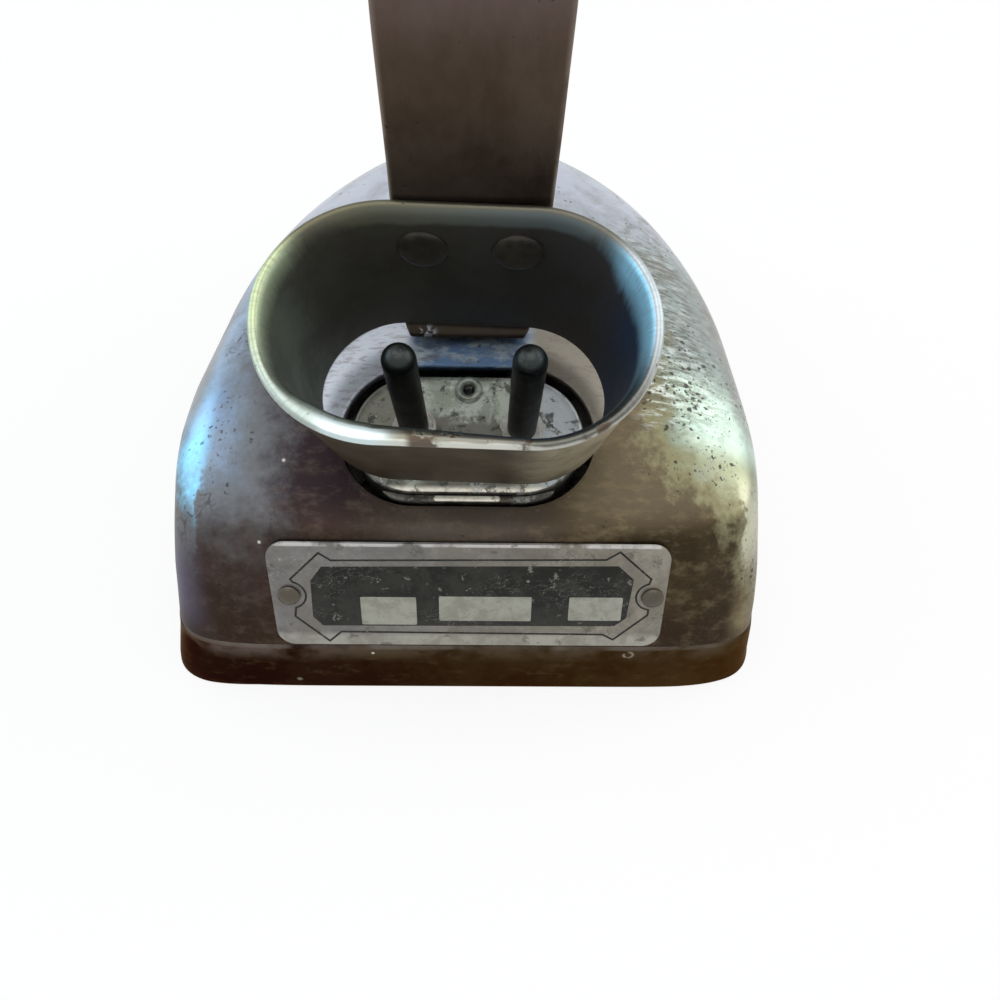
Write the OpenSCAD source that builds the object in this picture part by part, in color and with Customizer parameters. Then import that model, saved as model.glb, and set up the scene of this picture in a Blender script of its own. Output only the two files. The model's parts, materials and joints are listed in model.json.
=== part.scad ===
// Electric iron with a plug collar, a bent strap handle and a turned grip.
// Millimetres, +Z up, toe toward +Y, heel toward -Y.
// Drawn from the heel line, then moved so that the origin is under the middle of the whole iron.

/* [Sole] */
// Length of the sole from heel to toe
sole_length = 165; // [150:1:185]
// Half the width of the sole at its bottom edge
sole_half = 54.3; // [50:0.5:60]
// Height of the seam between sole and cover
seam_z = 13.6; // [11:0.2:16]
// Distance that the sole edge leans in at the sides up to the seam
sole_flare = 2.9; // [1:0.1:4]
// Distance that the sole edge leans in at heel and toe up to the seam
end_flare = 0.6; // [0.2:0.1:1.5]
// Rounding of the bottom edge
sole_edge = 0.8; // [0.4:0.1:1.5]
// Height of the raised step that locates the cover
step_height = 2; // [1:0.1:3]

/* [Cover] */
// Height of the flat crown above the terminal centre
crown_rise = 9.9; // [9.5:0.1:14]
// Half the width of the flat crown
crown_half = 11.5; // [11:0.1:16]
// Distance of the crown's front end from the heel
crown_front = 104; // [98:1:112]
// Thickness of the drawn sheet
cover_wall = 1.2; // [0.8:0.1:2]
// Lean of the heel wall from upright, in degrees
heel_lean = 18.5; // [12:0.5:22]
// Roundness of the heel corners at the seam, a higher power is squarer
heel_power = 8.7; // [5:0.1:10]

/* [Terminals] */
// Distance of the terminal centre from the heel
term_y = 23.2; // [21:0.1:26]
// Height of the terminal centre
term_z = 42.1; // [41:0.1:44]
// Tilt of the terminal face and of the plug from level, in degrees
term_tilt = 25; // [23:0.5:26]
// Distance between the centres of the hole's two round ends
term_straight = 17; // [15:0.5:20]
// Radius of the round ends of the terminal cap
term_radius = 10.5; // [10:0.1:12]
// Gap between the terminal cap and the hole in the cover
term_gap = 1.5; // [0.8:0.1:2]
// Depth of the terminal cap's skirt
term_skirt = 9; // [8.2:0.1:10]
// Sheet thickness of the terminal cap
term_wall = 0.8; // [0.5:0.1:1]
// Thickness of the insulating block under the cap
block_height = 5; // [4.5:0.1:5.5]
// Diameter of each contact pin
pin_d = 4.76; // [4.5:0.01:5]
// Distance between the two pins
pin_pitch = 17.46; // [16:0.01:18.5]
// Length of the straight part of a pin above the cap
pin_straight = 23.6; // [20:0.1:25]
// Diameter of the pin's shank inside the block
shank_d = 3.2; // [2.8:0.1:3.5]
// Offset of the pins toward the toe on the cap
pin_offset = 1; // [0:0.1:1.5]
// Offset of the eyelet toward the toe on the cap
eyelet_offset = 7.3; // [6.5:0.1:7.6]

/* [Plug collar] */
// Distance between the centres of the collar's two round ends
collar_straight = 19.2; // [17:0.1:22]
// Inner radius of the collar's small end
collar_radius = 13.2; // [12.5:0.1:15]
// Wall of the collar
collar_wall = 1.4; // [1:0.1:1.8]
// Lean of the collar's outer wall from its axis, in degrees
collar_flare = 5.4; // [4:0.1:8]
// Lean of the collar's inner wall from its axis, in degrees
collar_taper = 4.3; // [3.5:0.1:5.5]
// Length of the collar
collar_length = 26.1; // [23:0.1:29]
// Height of the collar's small end above the terminal face
collar_lift = 3.6; // [3:0.1:5]
// Offset of the collar toward the toe from the terminal centre
collar_offset = 4.4; // [3.5:0.1:5]
// Radius of the rim around the collar's mouth
rim_r = 0.8; // [0.6:0.05:1]
// Depth of the rounded mouth inside the rim
mouth_depth = 4; // [2:0.1:6]
// Distance between the collar's two rivets
rivet_pitch = 12.4; // [11:0.1:14]
// Distance of the rivets below the rim
rivet_drop = 8.1; // [7.8:0.1:11]
// Diameter of the rivets' shanks
rivet_d = 3; // [2.5:0.1:3.4]
// Diameter of the rivets' flat heads
rivet_head_d = 7.2; // [6:0.1:7.4]

/* [Handle] */
// Thickness of the handle strap
strap_t = 2.8; // [2.2:0.1:3.2]
// Width of the strap at the grip
strap_w = 21.8; // [20:0.1:24]
// Width of the strap on the crown
strap_foot_w = 20.4; // [18:0.1:22]
// Distance of the strap's rear leg from the heel at the grip
rear_leg_y = 27; // [26:0.1:28.5]
// Distance of the strap's front leg from the heel at the grip
front_leg_y = 127; // [122:1:132]
// Distance of the front bend on the crown from the heel
front_bend_y = 101; // [99:0.5:103]
// Height of the grip's axis
grip_z = 118; // [112:1:128]
// Largest radius of the grip
grip_r = 15.5; // [14:0.5:18]
// Radius of the grip inside its ferrules
grip_end_r = 12; // [10.5:0.5:13]
// Diameter of the rod through the grip
rod_d = 5; // [4:0.5:6]
// Length of the ferrules
ferrule_length = 7; // [5:0.5:9]
// Thickness of the ferrules
ferrule_wall = 1; // [0.8:0.1:1.5]

/* [Studs and nuts] */
// Distance of the rear stud from the heel
rear_stud_y = 56; // [54:0.5:60]
// Distance of the front stud from the heel
front_stud_y = 90; // [82:0.5:92]
// Diameter of the studs
stud_d = 6; // [5:0.5:7]
// Width across the flats of the large nuts
nut_af = 10; // [9.5:0.5:12]
// Height of the large nuts
nut_h = 5; // [4:0.5:6]
// Thickness of the washers under the cap nuts
washer_t = 1.2; // [0.8:0.1:1.6]

/* [Heater] */
// Thickness of each mica sheet
mica_t = 0.8; // [0.5:0.1:1.2]
// Thickness of the heater ribbon
ribbon_t = 0.6; // [0.4:0.1:0.8]
// Width of the heater ribbon
ribbon_w = 3; // [2:0.1:4]
// Distance from one run of ribbon to the next
ribbon_pitch = 9; // [8:0.5:12]
// Thickness of the pressure plate
press_t = 9; // [8:0.5:9.5]
// Inset of the pressure plate from the seam
press_inset = 9; // [8:0.5:14]
// Thickness of the insulating board on the pressure plate
board_t = 1.5; // [1:0.1:2]

/* [Nameplate] */
// Width of the nameplate
plate_w = 63; // [56:0.5:66]
// Height of the nameplate
plate_h = 19; // [16:0.1:19.4]
// Thickness of the nameplate
plate_t = 0.5; // [0.4:0.1:0.8]
// Corner radius of the nameplate
plate_corner = 3; // [1.5:0.5:5]
// Distance of the nameplate's two drive pins from its ends
plate_pin_inset = 3; // [2.5:0.1:6]
// Diameter of the drive pins' heads
plate_pin_head = 4; // [3:0.1:4.4]

/* [Hidden] */
$fn = 48;
// Small clearance between pieces that fit in each other
fit = 0.1;
// Clearance of a loosely drilled hole around its bolt
drill_gap = 0.3;
// Points along a quarter of each body outline
quarter_points = 18;
// Number of body sections from the seam to the crown
cover_rings = 20;
// Number of body sections on the inside of the cover
inner_rings = 14;
// Powers that shape the plan of the body toward the toe
toe_power = 1.9;
seam_toe_round = 0.79;
crown_toe_round = 0.39;
// Power of the heel's roundness at the crown
crown_power = 2.9;
// Powers that shape the body's sides from the seam to the crown
side_power = 7;
side_round = 1.6;
nose_power = 1.2;
nose_round = 0.65;
// Place of the widest section, at the seam and at the crown, as parts of the sole length
seam_widest = 0.2;
crown_widest = 0.4;
// How much further the pointed toe of an inset outline moves in than its sides
toe_draw = 1.8;
// Softness of the heel's shoulder and of the crown's rear edge
shoulder_blend = 1.6;
crown_ease = 1.2;
crown_ease_power = 12;
// Distance that the heater pieces stay inside the raised step
mica_inset = 2;
// Distances of the heater ribbon from the outline and from the middle
ribbon_edge = 9;
ribbon_middle = 7;
// Distance of the ribbon's first run and last run from heel and toe
ribbon_first = 17;
ribbon_nose = 22;

crown_z = term_z + crown_rise;
seam_half = sole_half - sole_flare;
seam_toe = sole_length - end_flare;
step_inset = cover_wall + 2 * fit;
step_z = seam_z + step_height;
element_z = step_z + mica_t;
upper_mica_z = element_z + ribbon_t;
press_z = upper_mica_z + mica_t;
press_top = press_z + press_t;
stud_floor = 5;
stud_depth = seam_z - stud_floor;
strap_top_z = crown_z + strap_t;
nut_seat_z = strap_top_z + washer_t;
dome_rise = 3;
cap_nut_h = nut_h + dome_rise;
hole_radius = term_radius + term_gap;
collar_out = collar_radius + collar_wall;
collar_top = collar_lift + collar_length;
bolt_d = 3;
// The bend of the rear leg below the collar's mouth clears its rim
leg_bend_drop = 6;
strap_over = 12;
foot_gap = 0.15;
// Radii of the strap's bends along its middle line
heel_bend_r = strap_t / 2 + 0.5;
crown_bend_r = 3;
front_bend_r = 5.6;
collar_bend_r = 12;
leg_bend_r = 24;
rear_bend_z = 101;
front_bend_z = 97;

// Softly takes the larger of two values
function soft_max(a, b, k) = (a + b + sqrt((a - b) * (a - b) + k * k)) / 2;
function mix(a, b, f) = a + (b - a) * f;

// A point on the terminal face's own axes, given in the side view of the iron
function from_terminal(y, w) = [
  term_y + y * cos(term_tilt) - w * sin(term_tilt),
  term_z + y * sin(term_tilt) + w * cos(term_tilt)
];

// Right half of an iron's plan outline, from the middle of the heel to the toe
function half_plan(half, heel, widest, toe, power, round_power) = concat(
  [for (i = [0:quarter_points]) let (a = 90 * i / quarter_points) [
    half * pow(sin(a), 2 / power),
    widest - (widest - heel) * pow(cos(a), 2 / power)
  ]],
  [for (i = [1:quarter_points]) let (v = sin(90 * i / quarter_points)) [
    half * pow(max(0, 1 - pow(v, toe_power)), round_power),
    widest + (toe - widest) * v
  ]]
);
function whole_plan(right) = concat(
  right,
  [for (i = [len(right) - 2:-1:1]) [-right[i][0], right[i][1]]]
);
function at_height(outline, z) = [for (p = outline) [p[0], p[1], z]];

// The plan at the seam, drawn in by an inset
function seam_plan(inset) = whole_plan(half_plan(
  seam_half - inset, end_flare + inset, seam_widest * sole_length,
  seam_toe - inset * toe_draw, heel_power, seam_toe_round
));
function sole_plan(flare, ends) = whole_plan(half_plan(
  sole_half - flare, ends, seam_widest * sole_length,
  sole_length - ends, heel_power, seam_toe_round
));
// Half the width of the inset seam plan at a distance from the heel
function seam_width_at(y, inset) =
  let (widest = seam_widest * sole_length, heel = end_flare + inset, toe = seam_toe - inset * toe_draw)
  y < widest
  ? (seam_half - inset) * pow(1 - pow((widest - y) / (widest - heel), heel_power), 1 / heel_power)
  : (seam_half - inset) * pow(max(0, 1 - pow((y - widest) / (toe - widest), toe_power)), seam_toe_round);

// The cover's section at a height, on a surface that lies a wall further in
function rise(z, wall) = min(1, max(0, (z - seam_z) / (crown_z - wall - seam_z)));
function heel_y(z, wall) = soft_max(
  end_flare + (z - seam_z) * tan(heel_lean) + wall / cos(heel_lean),
  term_y + (z - term_z + wall / cos(term_tilt)) / tan(term_tilt),
  shoulder_blend
) + crown_ease * pow(rise(z, wall), crown_ease_power);
function cover_section(z, wall) =
  let (f = rise(z, wall))
  at_height(whole_plan(half_plan(
    mix(seam_half, crown_half, 1 - pow(1 - pow(f, side_power), side_round)) - wall,
    heel_y(z, wall),
    mix(seam_widest, crown_widest, pow(f, 0.75)) * sole_length,
    mix(crown_front, seam_toe, pow(1 - pow(f, nose_power), nose_round)) - wall,
    mix(heel_power, crown_power, f),
    mix(seam_toe_round, crown_toe_round, f)
  )), z);

// Rings of points joined into one closed skin, with a flat face on the first and last ring
module loft(rings) {
  n = len(rings[0]);
  polyhedron(
    points = [for (ring = rings) each ring],
    faces = concat(
      [[for (i = [0:n - 1]) i]],
      [for (k = [0:len(rings) - 2]) for (i = [0:n - 1])
        let (a = k * n + i, b = k * n + (i + 1) % n) each [[a, a + n, b + n], [a, b + n, b]]],
      [[for (i = [n - 1:-1:0]) (len(rings) - 1) * n + i]]
    )
  );
}

// A bent strip in the side view: its middle line with rounded corners, and its outline
function unit(v) = v / norm(v);
function corner_arc(a, b, c, r, steps) =
  let (
    u = unit(a - b),
    v = unit(c - b),
    half = acos(u * v) / 2,
    centre = b + unit(u + v) * r / sin(half),
    first = b + u * r / tan(half) - centre,
    last = b + v * r / tan(half) - centre,
    start = atan2(first[1], first[0]),
    sweep = (atan2(last[1], last[0]) - start + 540) % 360 - 180
  )
  [for (k = [0:steps]) centre + r * [cos(start + sweep * k / steps), sin(start + sweep * k / steps)]];
function bent(points, radii, steps = 6) = concat(
  [points[0]],
  [for (i = [1:len(points) - 2])
    each corner_arc(points[i - 1], points[i], points[i + 1], radii[i - 1], steps)],
  [points[len(points) - 1]]
);
function side_step(path, i, t) =
  let (
    last = len(path) - 1,
    before = unit(path[max(i, 1)] - path[max(i, 1) - 1]),
    after = unit(path[min(i, last - 1) + 1] - path[min(i, last - 1)]),
    along = unit(before + after)
  )
  [-along[1], along[0]] * t / 2 / (along * after);
function strip_outline(path, t) = concat(
  [for (i = [0:len(path) - 1]) path[i] + side_step(path, i, t)],
  [for (i = [len(path) - 1:-1:0]) path[i] - side_step(path, i, t)]
);
// A side view outline made into a strip across the iron
module across(outline, width) {
  translate([-width / 2, 0, 0]) rotate([90, 0, 90]) linear_extrude(width) polygon(outline);
}

// Middle line of the handle strap in the side view, from the front leg to the rear leg
leg_slope = tan(collar_flare);
strap_w0 = strap_t / 2 + foot_gap;
function leg_y(w) = collar_offset + collar_out + strap_t / 2 / cos(collar_flare)
  + (w - collar_lift) * leg_slope;
strap_path = bent(
  [
    [front_leg_y, grip_z + strap_over],
    [front_leg_y, front_bend_z],
    [front_bend_y, crown_z + strap_t / 2],
    from_terminal((crown_z + strap_t / 2 - term_z - strap_w0 * cos(term_tilt)) / sin(term_tilt), strap_w0),
    from_terminal(leg_y(strap_w0), strap_w0),
    from_terminal(leg_y(collar_top - leg_bend_drop), collar_top - leg_bend_drop),
    [rear_leg_y, rear_bend_z],
    [rear_leg_y, grip_z + strap_over]
  ],
  [leg_bend_r, front_bend_r, crown_bend_r, heel_bend_r, collar_bend_r, leg_bend_r]
);

// The collar's rim, how far it reaches behind the heel, and the shift to the middle of the iron
rim_over = 0.2;
rim_w = collar_length - rim_r;
rim_x = collar_out + rim_w * leg_slope + rim_over - rim_r;
rear_reach = min(0, from_terminal(collar_offset - rim_x, collar_lift + rim_w)[0] - rim_r);
body_shift = -(sole_length + rear_reach) / 2;

module in_frame() {
  translate([0, body_shift, 0]) children();
}
module at_terminal() {
  in_frame() translate([0, term_y, term_z]) rotate([term_tilt, 0, 0]) children();
}
module at_each_pin() {
  for (side = [-1, 1]) translate([side * pin_pitch / 2, pin_offset, 0]) children();
}
module at_collar() {
  at_terminal() translate([0, collar_offset, collar_lift]) children();
}
module at_each_stud() {
  for (y = [rear_stud_y, front_stud_y]) translate([0, y, 0]) children();
}
// The middle of the heel wall, with Z pointing out of it
plate_margin = 1.7;
plate_z = seam_z + (plate_h / 2 + plate_margin) * cos(heel_lean);
module at_nameplate() {
  in_frame()
    translate([0, end_flare + (plate_z - seam_z) * tan(heel_lean), plate_z])
      rotate([90 - heel_lean, 0, 0]) children();
}

// A prism with straight sides and two round ends
module oval_prism(straight, radius, height) {
  for (side = [-1, 1]) translate([side * straight / 2, 0, 0]) cylinder(r = radius, h = height);
  translate([-straight / 2, -radius, 0]) cube([straight, 2 * radius, height]);
}
module hexagon_nut(af, height, bore) {
  difference() {
    cylinder(d = af / cos(30), h = height, $fn = 6);
    translate([0, 0, -1]) cylinder(d = bore, h = height + 2);
  }
}
// A domed nut that covers the end of its bolt
module domed_nut(af, flat_height, height, bore) {
  dome_r = af / 2 - 0.2;
  difference() {
    union() {
      cylinder(d = af / cos(30), h = flat_height, $fn = 6);
      translate([0, 0, height - dome_r]) sphere(r = dome_r);
    }
    translate([0, 0, -1]) cylinder(d = bore, h = flat_height + 1);
    translate([-af, -af, -2 * af]) cube([2 * af, 2 * af, 2 * af]);
  }
}

module sole_plate() {
  color("dimgray") in_frame() difference() {
    loft([
      at_height(sole_plan(sole_edge, sole_edge), 0),
      at_height(sole_plan(sole_edge * 0.3, sole_edge * 0.3), sole_edge * 0.3),
      at_height(sole_plan(0, 0), sole_edge),
      at_height(seam_plan(0), seam_z),
      at_height(seam_plan(step_inset), seam_z),
      at_height(seam_plan(step_inset), step_z)
    ]);
    at_each_stud() translate([0, 0, seam_z - stud_depth])
      cylinder(d = stud_d + 2 * fit, h = stud_depth + step_height + 1);
  }
}

module mica_sheet(bottom) {
  difference() {
    translate([0, 0, bottom]) linear_extrude(mica_t) polygon(seam_plan(step_inset + mica_inset));
    at_each_stud() translate([0, 0, bottom - 1]) cylinder(d = stud_d + 2 * drill_gap, h = mica_t + 2);
  }
}
module lower_mica() {
  color("tan") in_frame() mica_sheet(step_z);
}
module upper_mica() {
  color("tan") in_frame() difference() {
    mica_sheet(upper_mica_z);
    lead_slots(ribbon_first - ribbon_w, lead_riser_y + lead_room, upper_mica_z - 1, mica_t + 2);
  }
}

// Heater ribbon that runs to and fro on both sides and joins at the toe
ribbon_runs = floor((seam_toe - ribbon_nose - ribbon_first) / ribbon_pitch);
function run_y(i) = ribbon_first + i * ribbon_pitch;
function run_end(i) = seam_width_at(run_y(i), ribbon_edge);
module ribbon_bar(x0, x1, y0, y1) {
  translate([x0 - ribbon_w / 2, y0 - ribbon_w / 2, element_z])
    cube([x1 - x0 + ribbon_w, y1 - y0 + ribbon_w, ribbon_t]);
}
module heating_element() {
  color("silver") in_frame() {
    for (side = [0, 1]) mirror([side, 0, 0]) {
      for (i = [0:ribbon_runs]) ribbon_bar(ribbon_middle, run_end(i), run_y(i), run_y(i));
      for (i = [0:ribbon_runs - 1]) if (i % 2 == 0)
        ribbon_bar(min(run_end(i), run_end(i + 1)), min(run_end(i), run_end(i + 1)), run_y(i), run_y(i + 1));
      for (i = [0:ribbon_runs - 1]) if (i % 2 == 1)
        ribbon_bar(ribbon_middle, ribbon_middle, run_y(i), run_y(i + 1));
    }
    ribbon_bar(-ribbon_middle, ribbon_middle, run_y(ribbon_runs), run_y(ribbon_runs));
  }
}

module pressure_plate() {
  color("gray") in_frame() difference() {
    translate([0, 0, press_z]) linear_extrude(press_t) polygon(seam_plan(press_inset));
    at_each_stud() translate([0, 0, press_z - 1]) cylinder(d = stud_d + 2 * drill_gap, h = press_t + 2);
    lead_slots(lead_riser_y - lead_room, lead_riser_y + lead_room, press_z - 1, press_t + 2);
    at_each_bracket_screw() translate([0, 0, press_top - screw_depth])
      cylinder(d = bolt_d + 2 * fit, h = screw_depth + 1);
  }
}

// Insulating board with room for the terminals and the clamp nuts
board_inset = 12;
board_open_w = 54;
board_open_y = 38;
board_hole_d = nut_af * 1.4;
module insulating_board() {
  color("ivory") in_frame() difference() {
    translate([0, 0, press_top]) linear_extrude(board_t) polygon(seam_plan(board_inset));
    translate([-board_open_w / 2, 0, press_top - 1]) cube([board_open_w, board_open_y, board_t + 2]);
    at_each_stud() translate([0, 0, press_top - 1]) cylinder(d = board_hole_d, h = board_t + 2);
  }
}

module stud(y) {
  in_frame() translate([0, y, seam_z - stud_depth])
    cylinder(d = stud_d, h = nut_seat_z + nut_h - 1 - seam_z + stud_depth);
}
module rear_stud() {
  color("silver") stud(rear_stud_y);
}
module front_stud() {
  color("silver") stud(front_stud_y);
}
module clamp_nuts() {
  color("dimgray") in_frame() at_each_stud() translate([0, 0, press_top])
    hexagon_nut(nut_af, nut_h, stud_d + 2 * fit);
}

// Deep drawn shell with the hole for the terminals, the stud holes and the nameplate's pin holes
module top_cover() {
  color("rosybrown") difference() {
    in_frame() difference() {
      loft(concat(
        [for (k = [inner_rings:-1:0])
          cover_section(mix(seam_z, crown_z - cover_wall, sin(90 * k / inner_rings)), cover_wall)],
        [for (k = [0:cover_rings]) cover_section(mix(seam_z, crown_z, sin(90 * k / cover_rings)), 0)]
      ));
      at_each_stud() translate([0, 0, crown_z - 5]) cylinder(d = stud_d + 2 * drill_gap, h = 10);
    }
    at_terminal() translate([0, 0, -4]) oval_prism(term_straight, hole_radius, 9);
    at_nameplate() at_each_plate_pin() translate([0, 0, -6]) cylinder(d = plate_pin_d + 2 * fit, h = 12);
  }
}

// One strip bent into a rear leg, a foot on the crown and a front leg
taper_drop = 40;
module handle_strap() {
  taper_z = grip_z - taper_drop;
  reach_y = sole_length + 2 * strap_over;
  color("saddlebrown") difference() {
    in_frame() intersection() {
      across(strip_outline(strap_path, strap_t), strap_w + 2);
      translate([0, sole_length, 0]) rotate([90, 0, 0]) linear_extrude(reach_y)
        polygon([
          [-strap_foot_w / 2, 0], [strap_foot_w / 2, 0], [strap_foot_w / 2, crown_z],
          [strap_w / 2, taper_z], [strap_w / 2, grip_z + strap_over + 1],
          [-strap_w / 2, grip_z + strap_over + 1], [-strap_w / 2, taper_z], [-strap_foot_w / 2, crown_z]
        ]);
      union() {
        translate([-strap_w, -strap_over, 0]) cube([2 * strap_w, reach_y, grip_z]);
        translate([0, -strap_over, grip_z]) rotate([-90, 0, 0]) cylinder(r = strap_w / 2, h = reach_y);
      }
    }
    in_frame() at_each_stud() translate([0, 0, crown_z - 1]) cylinder(d = stud_d + 2 * drill_gap, h = strap_t + 2);
    in_frame() translate([0, -1, grip_z]) rotate([-90, 0, 0])
      cylinder(d = rod_d + 2 * fit, h = sole_length + 2);
    at_each_rivet() translate([0, 0, -1]) cylinder(d = rivet_d + 2 * fit, h = strap_t + collar_wall + 2);
  }
}
washer_d = nut_af * 1.3;
module handle_washers() {
  color("silver") in_frame() at_each_stud() translate([0, 0, strap_top_z]) difference() {
    cylinder(d = washer_d, h = washer_t);
    translate([0, 0, -1]) cylinder(d = stud_d + 2 * drill_gap, h = washer_t + 2);
  }
}
module cap_nuts() {
  color("silver") in_frame() at_each_stud() translate([0, 0, nut_seat_z])
    domed_nut(nut_af, nut_h, cap_nut_h, stud_d + 2 * fit);
}

// Turned grip along the rod, with a bead beside each ferrule
grip_bead_r = 2.2;
bead_gap = grip_bead_r + 0.2;
grip_bead_sink = 0.6;
grip_neck = 6;
grip_start = rear_leg_y + strap_t / 2 + ferrule_wall;
grip_length = front_leg_y - strap_t / 2 - ferrule_wall - grip_start;
grip_steps = 24;
module along_grip(y) {
  in_frame() translate([0, y, grip_z]) rotate([-90, 0, 0]) children();
}
module grip_profile() {
  swell_start = ferrule_length + grip_neck;
  swell_length = grip_length - 2 * swell_start;
  polygon(concat(
    [[rod_d / 2 + drill_gap, 0], [grip_end_r, 0], [grip_end_r, swell_start]],
    [for (i = [1:grip_steps - 1])
      [grip_end_r + (grip_r - grip_end_r) * pow(sin(180 * i / grip_steps), 0.7),
        swell_start + swell_length * i / grip_steps]],
    [[grip_end_r, grip_length - swell_start], [grip_end_r, grip_length],
      [rod_d / 2 + drill_gap, grip_length]]
  ));
  for (y = [0, grip_length]) translate([grip_end_r - grip_bead_sink, abs(y - ferrule_length - bead_gap)])
    circle(r = grip_bead_r);
}
module wooden_grip() {
  color("black") along_grip(grip_start) rotate_extrude() grip_profile();
}
// A cup on the end of the grip, with a hole for the rod
module ferrule() {
  difference() {
    cylinder(r = grip_end_r + fit + ferrule_wall, h = ferrule_length);
    translate([0, 0, ferrule_wall]) cylinder(r = grip_end_r + fit, h = ferrule_length);
    translate([0, 0, -1]) cylinder(d = rod_d + 2 * fit, h = ferrule_wall + 2);
  }
}
module rear_ferrule() {
  color("silver") along_grip(grip_start - ferrule_wall) ferrule();
}
module front_ferrule() {
  color("silver") along_grip(grip_start + grip_length + ferrule_wall) rotate([180, 0, 0]) ferrule();
}
rod_nut_flat = 4;
rod_nut_h = 6.5;
rod_nut_af = 9;
module grip_rod() {
  color("dimgray") along_grip(rear_leg_y - strap_t / 2 - rod_nut_flat + 1)
    cylinder(d = rod_d, h = front_leg_y - rear_leg_y + strap_t + 2 * rod_nut_flat - 2);
}
module grip_nuts() {
  color("silver") {
    along_grip(rear_leg_y - strap_t / 2) rotate([180, 0, 0])
      domed_nut(rod_nut_af, rod_nut_flat, rod_nut_h, rod_d + 2 * fit);
    along_grip(front_leg_y + strap_t / 2)
      domed_nut(rod_nut_af, rod_nut_flat, rod_nut_h, rod_d + 2 * fit);
  }
}

// Flared oval collar around the pins: straight walls and half-turned ends of one wall profile
mouth_steps = 6;
module collar_profile() {
  mouth_foot = collar_length - mouth_depth;
  mouth_w = rim_x - collar_radius - mouth_foot * tan(collar_taper);
  polygon(concat(
    [[collar_radius, 0], [collar_out, 0], [collar_out + rim_w * leg_slope, rim_w]],
    [for (i = [mouth_steps:-1:0]) let (a = 90 * i / mouth_steps)
      [rim_x - mouth_w * cos(a), mouth_foot + mouth_depth * sin(a)]]
  ));
  translate([rim_x, rim_w]) circle(r = rim_r);
}
module plug_collar() {
  color("darkkhaki") difference() {
    at_collar() {
      for (side = [0, 1]) {
        mirror([side, 0, 0]) translate([collar_straight / 2, 0, 0]) rotate([0, 0, -90])
          rotate_extrude(angle = 180) collar_profile();
        mirror([0, side, 0]) translate([-collar_straight / 2, 0, 0]) rotate([90, 0, 90])
          linear_extrude(collar_straight) collar_profile();
      }
    }
    at_each_rivet() translate([0, 0, -1]) cylinder(d = rivet_d + 2 * fit, h = strap_t + collar_wall + 2);
  }
}
// Places at the collar's inner front wall, with Z pointing through it to the strap
module at_each_rivet() {
  for (side = [-1, 1]) at_collar()
    translate([side * rivet_pitch / 2, collar_radius + rivet_w * tan(collar_taper), rivet_w])
      rotate([-90 - collar_taper, 0, 0]) children();
}
rivet_w = collar_length - rivet_drop;
rivet_head_t = 0.8;
rivet_tail_d = rivet_d * 1.7;
rivet_tail_t = 1.2;
module collar_rivets() {
  stack = strap_t + collar_wall + rivet_w * (leg_slope - tan(collar_taper)) + fit / 2;
  color("dimgray") at_each_rivet() {
    translate([0, 0, -rivet_head_t]) cylinder(d = rivet_head_d, h = rivet_head_t);
    cylinder(d = rivet_d, h = stack);
    translate([0, 0, stack]) cylinder(d = rivet_tail_d, h = rivet_tail_t);
  }
}

// Drawn cap over the terminals, with a skirt, pin holes and an eyelet hole
flange_wide = 1.2;
neck_wide = 0.5;
bushing_d = pin_d + 2 * flange_wide;
neck_d = pin_d + 2 * neck_wide;
eyelet_hole_d = 2.6;
module terminal_cap() {
  color("lightgray") at_terminal() difference() {
    translate([0, 0, -term_skirt]) oval_prism(term_straight, term_radius, term_skirt);
    translate([0, 0, -term_skirt - 1])
      oval_prism(term_straight, term_radius - term_wall, term_skirt - term_wall + 1);
    at_each_pin() translate([0, 0, -2]) cylinder(d = neck_d + 2 * fit, h = 3);
    translate([0, eyelet_offset, -2]) cylinder(d = eyelet_hole_d + 2 * fit, h = 3);
  }
}
module terminal_block() {
  color("antiquewhite") at_terminal() difference() {
    translate([0, 0, -term_wall - block_height])
      oval_prism(term_straight, term_radius - term_wall - fit, block_height);
    at_each_pin() translate([0, 0, -term_wall - block_height - 1])
      cylinder(d = shank_d + 2 * fit, h = block_height + 2);
    translate([0, eyelet_offset, -term_wall - block_height - 1])
      cylinder(d = eyelet_hole_d + 2 * fit, h = block_height + 2);
  }
}
// Insulating bushings in the cap's pin holes, with a thin flange on top
flange_t = 0.5;
module pin_bushings() {
  color("wheat") at_terminal() at_each_pin() difference() {
    union() {
      cylinder(d = bushing_d, h = flange_t);
      translate([0, 0, -term_wall]) cylinder(d = neck_d, h = term_wall);
    }
    translate([0, 0, -2]) cylinder(d = shank_d + 2 * fit, h = 4);
  }
}
// A contact pin with a round tip above the bushing and a thin shank below it
nut_small_af = 5.5;
nut_small_h = 2.4;
lead_t = 0.6;
block_bottom = -term_wall - block_height;
lead_w = block_bottom - nut_small_h - lead_t / 2;
shank_over = 0.8;
shank_end = lead_w - lead_t / 2 - nut_small_h - shank_over;
module terminal_pin(side) {
  at_terminal() translate([side * pin_pitch / 2, pin_offset, 0]) {
    translate([0, 0, flange_t]) cylinder(d = pin_d, h = pin_straight - flange_t);
    translate([0, 0, pin_straight]) sphere(d = pin_d);
    translate([0, 0, shank_end]) cylinder(d = shank_d, h = flange_t - shank_end);
  }
}
module left_terminal_pin() {
  color("darkslategray") terminal_pin(-1);
}
module right_terminal_pin() {
  color("darkslategray") terminal_pin(1);
}
module pin_nuts() {
  color("goldenrod") at_terminal() at_each_pin() {
    translate([0, 0, block_bottom - nut_small_h])
      hexagon_nut(nut_small_af, nut_small_h, shank_d + 2 * fit);
    translate([0, 0, lead_w - lead_t / 2 - nut_small_h])
      hexagon_nut(nut_small_af, nut_small_h, shank_d + 2 * fit);
  }
}
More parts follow.
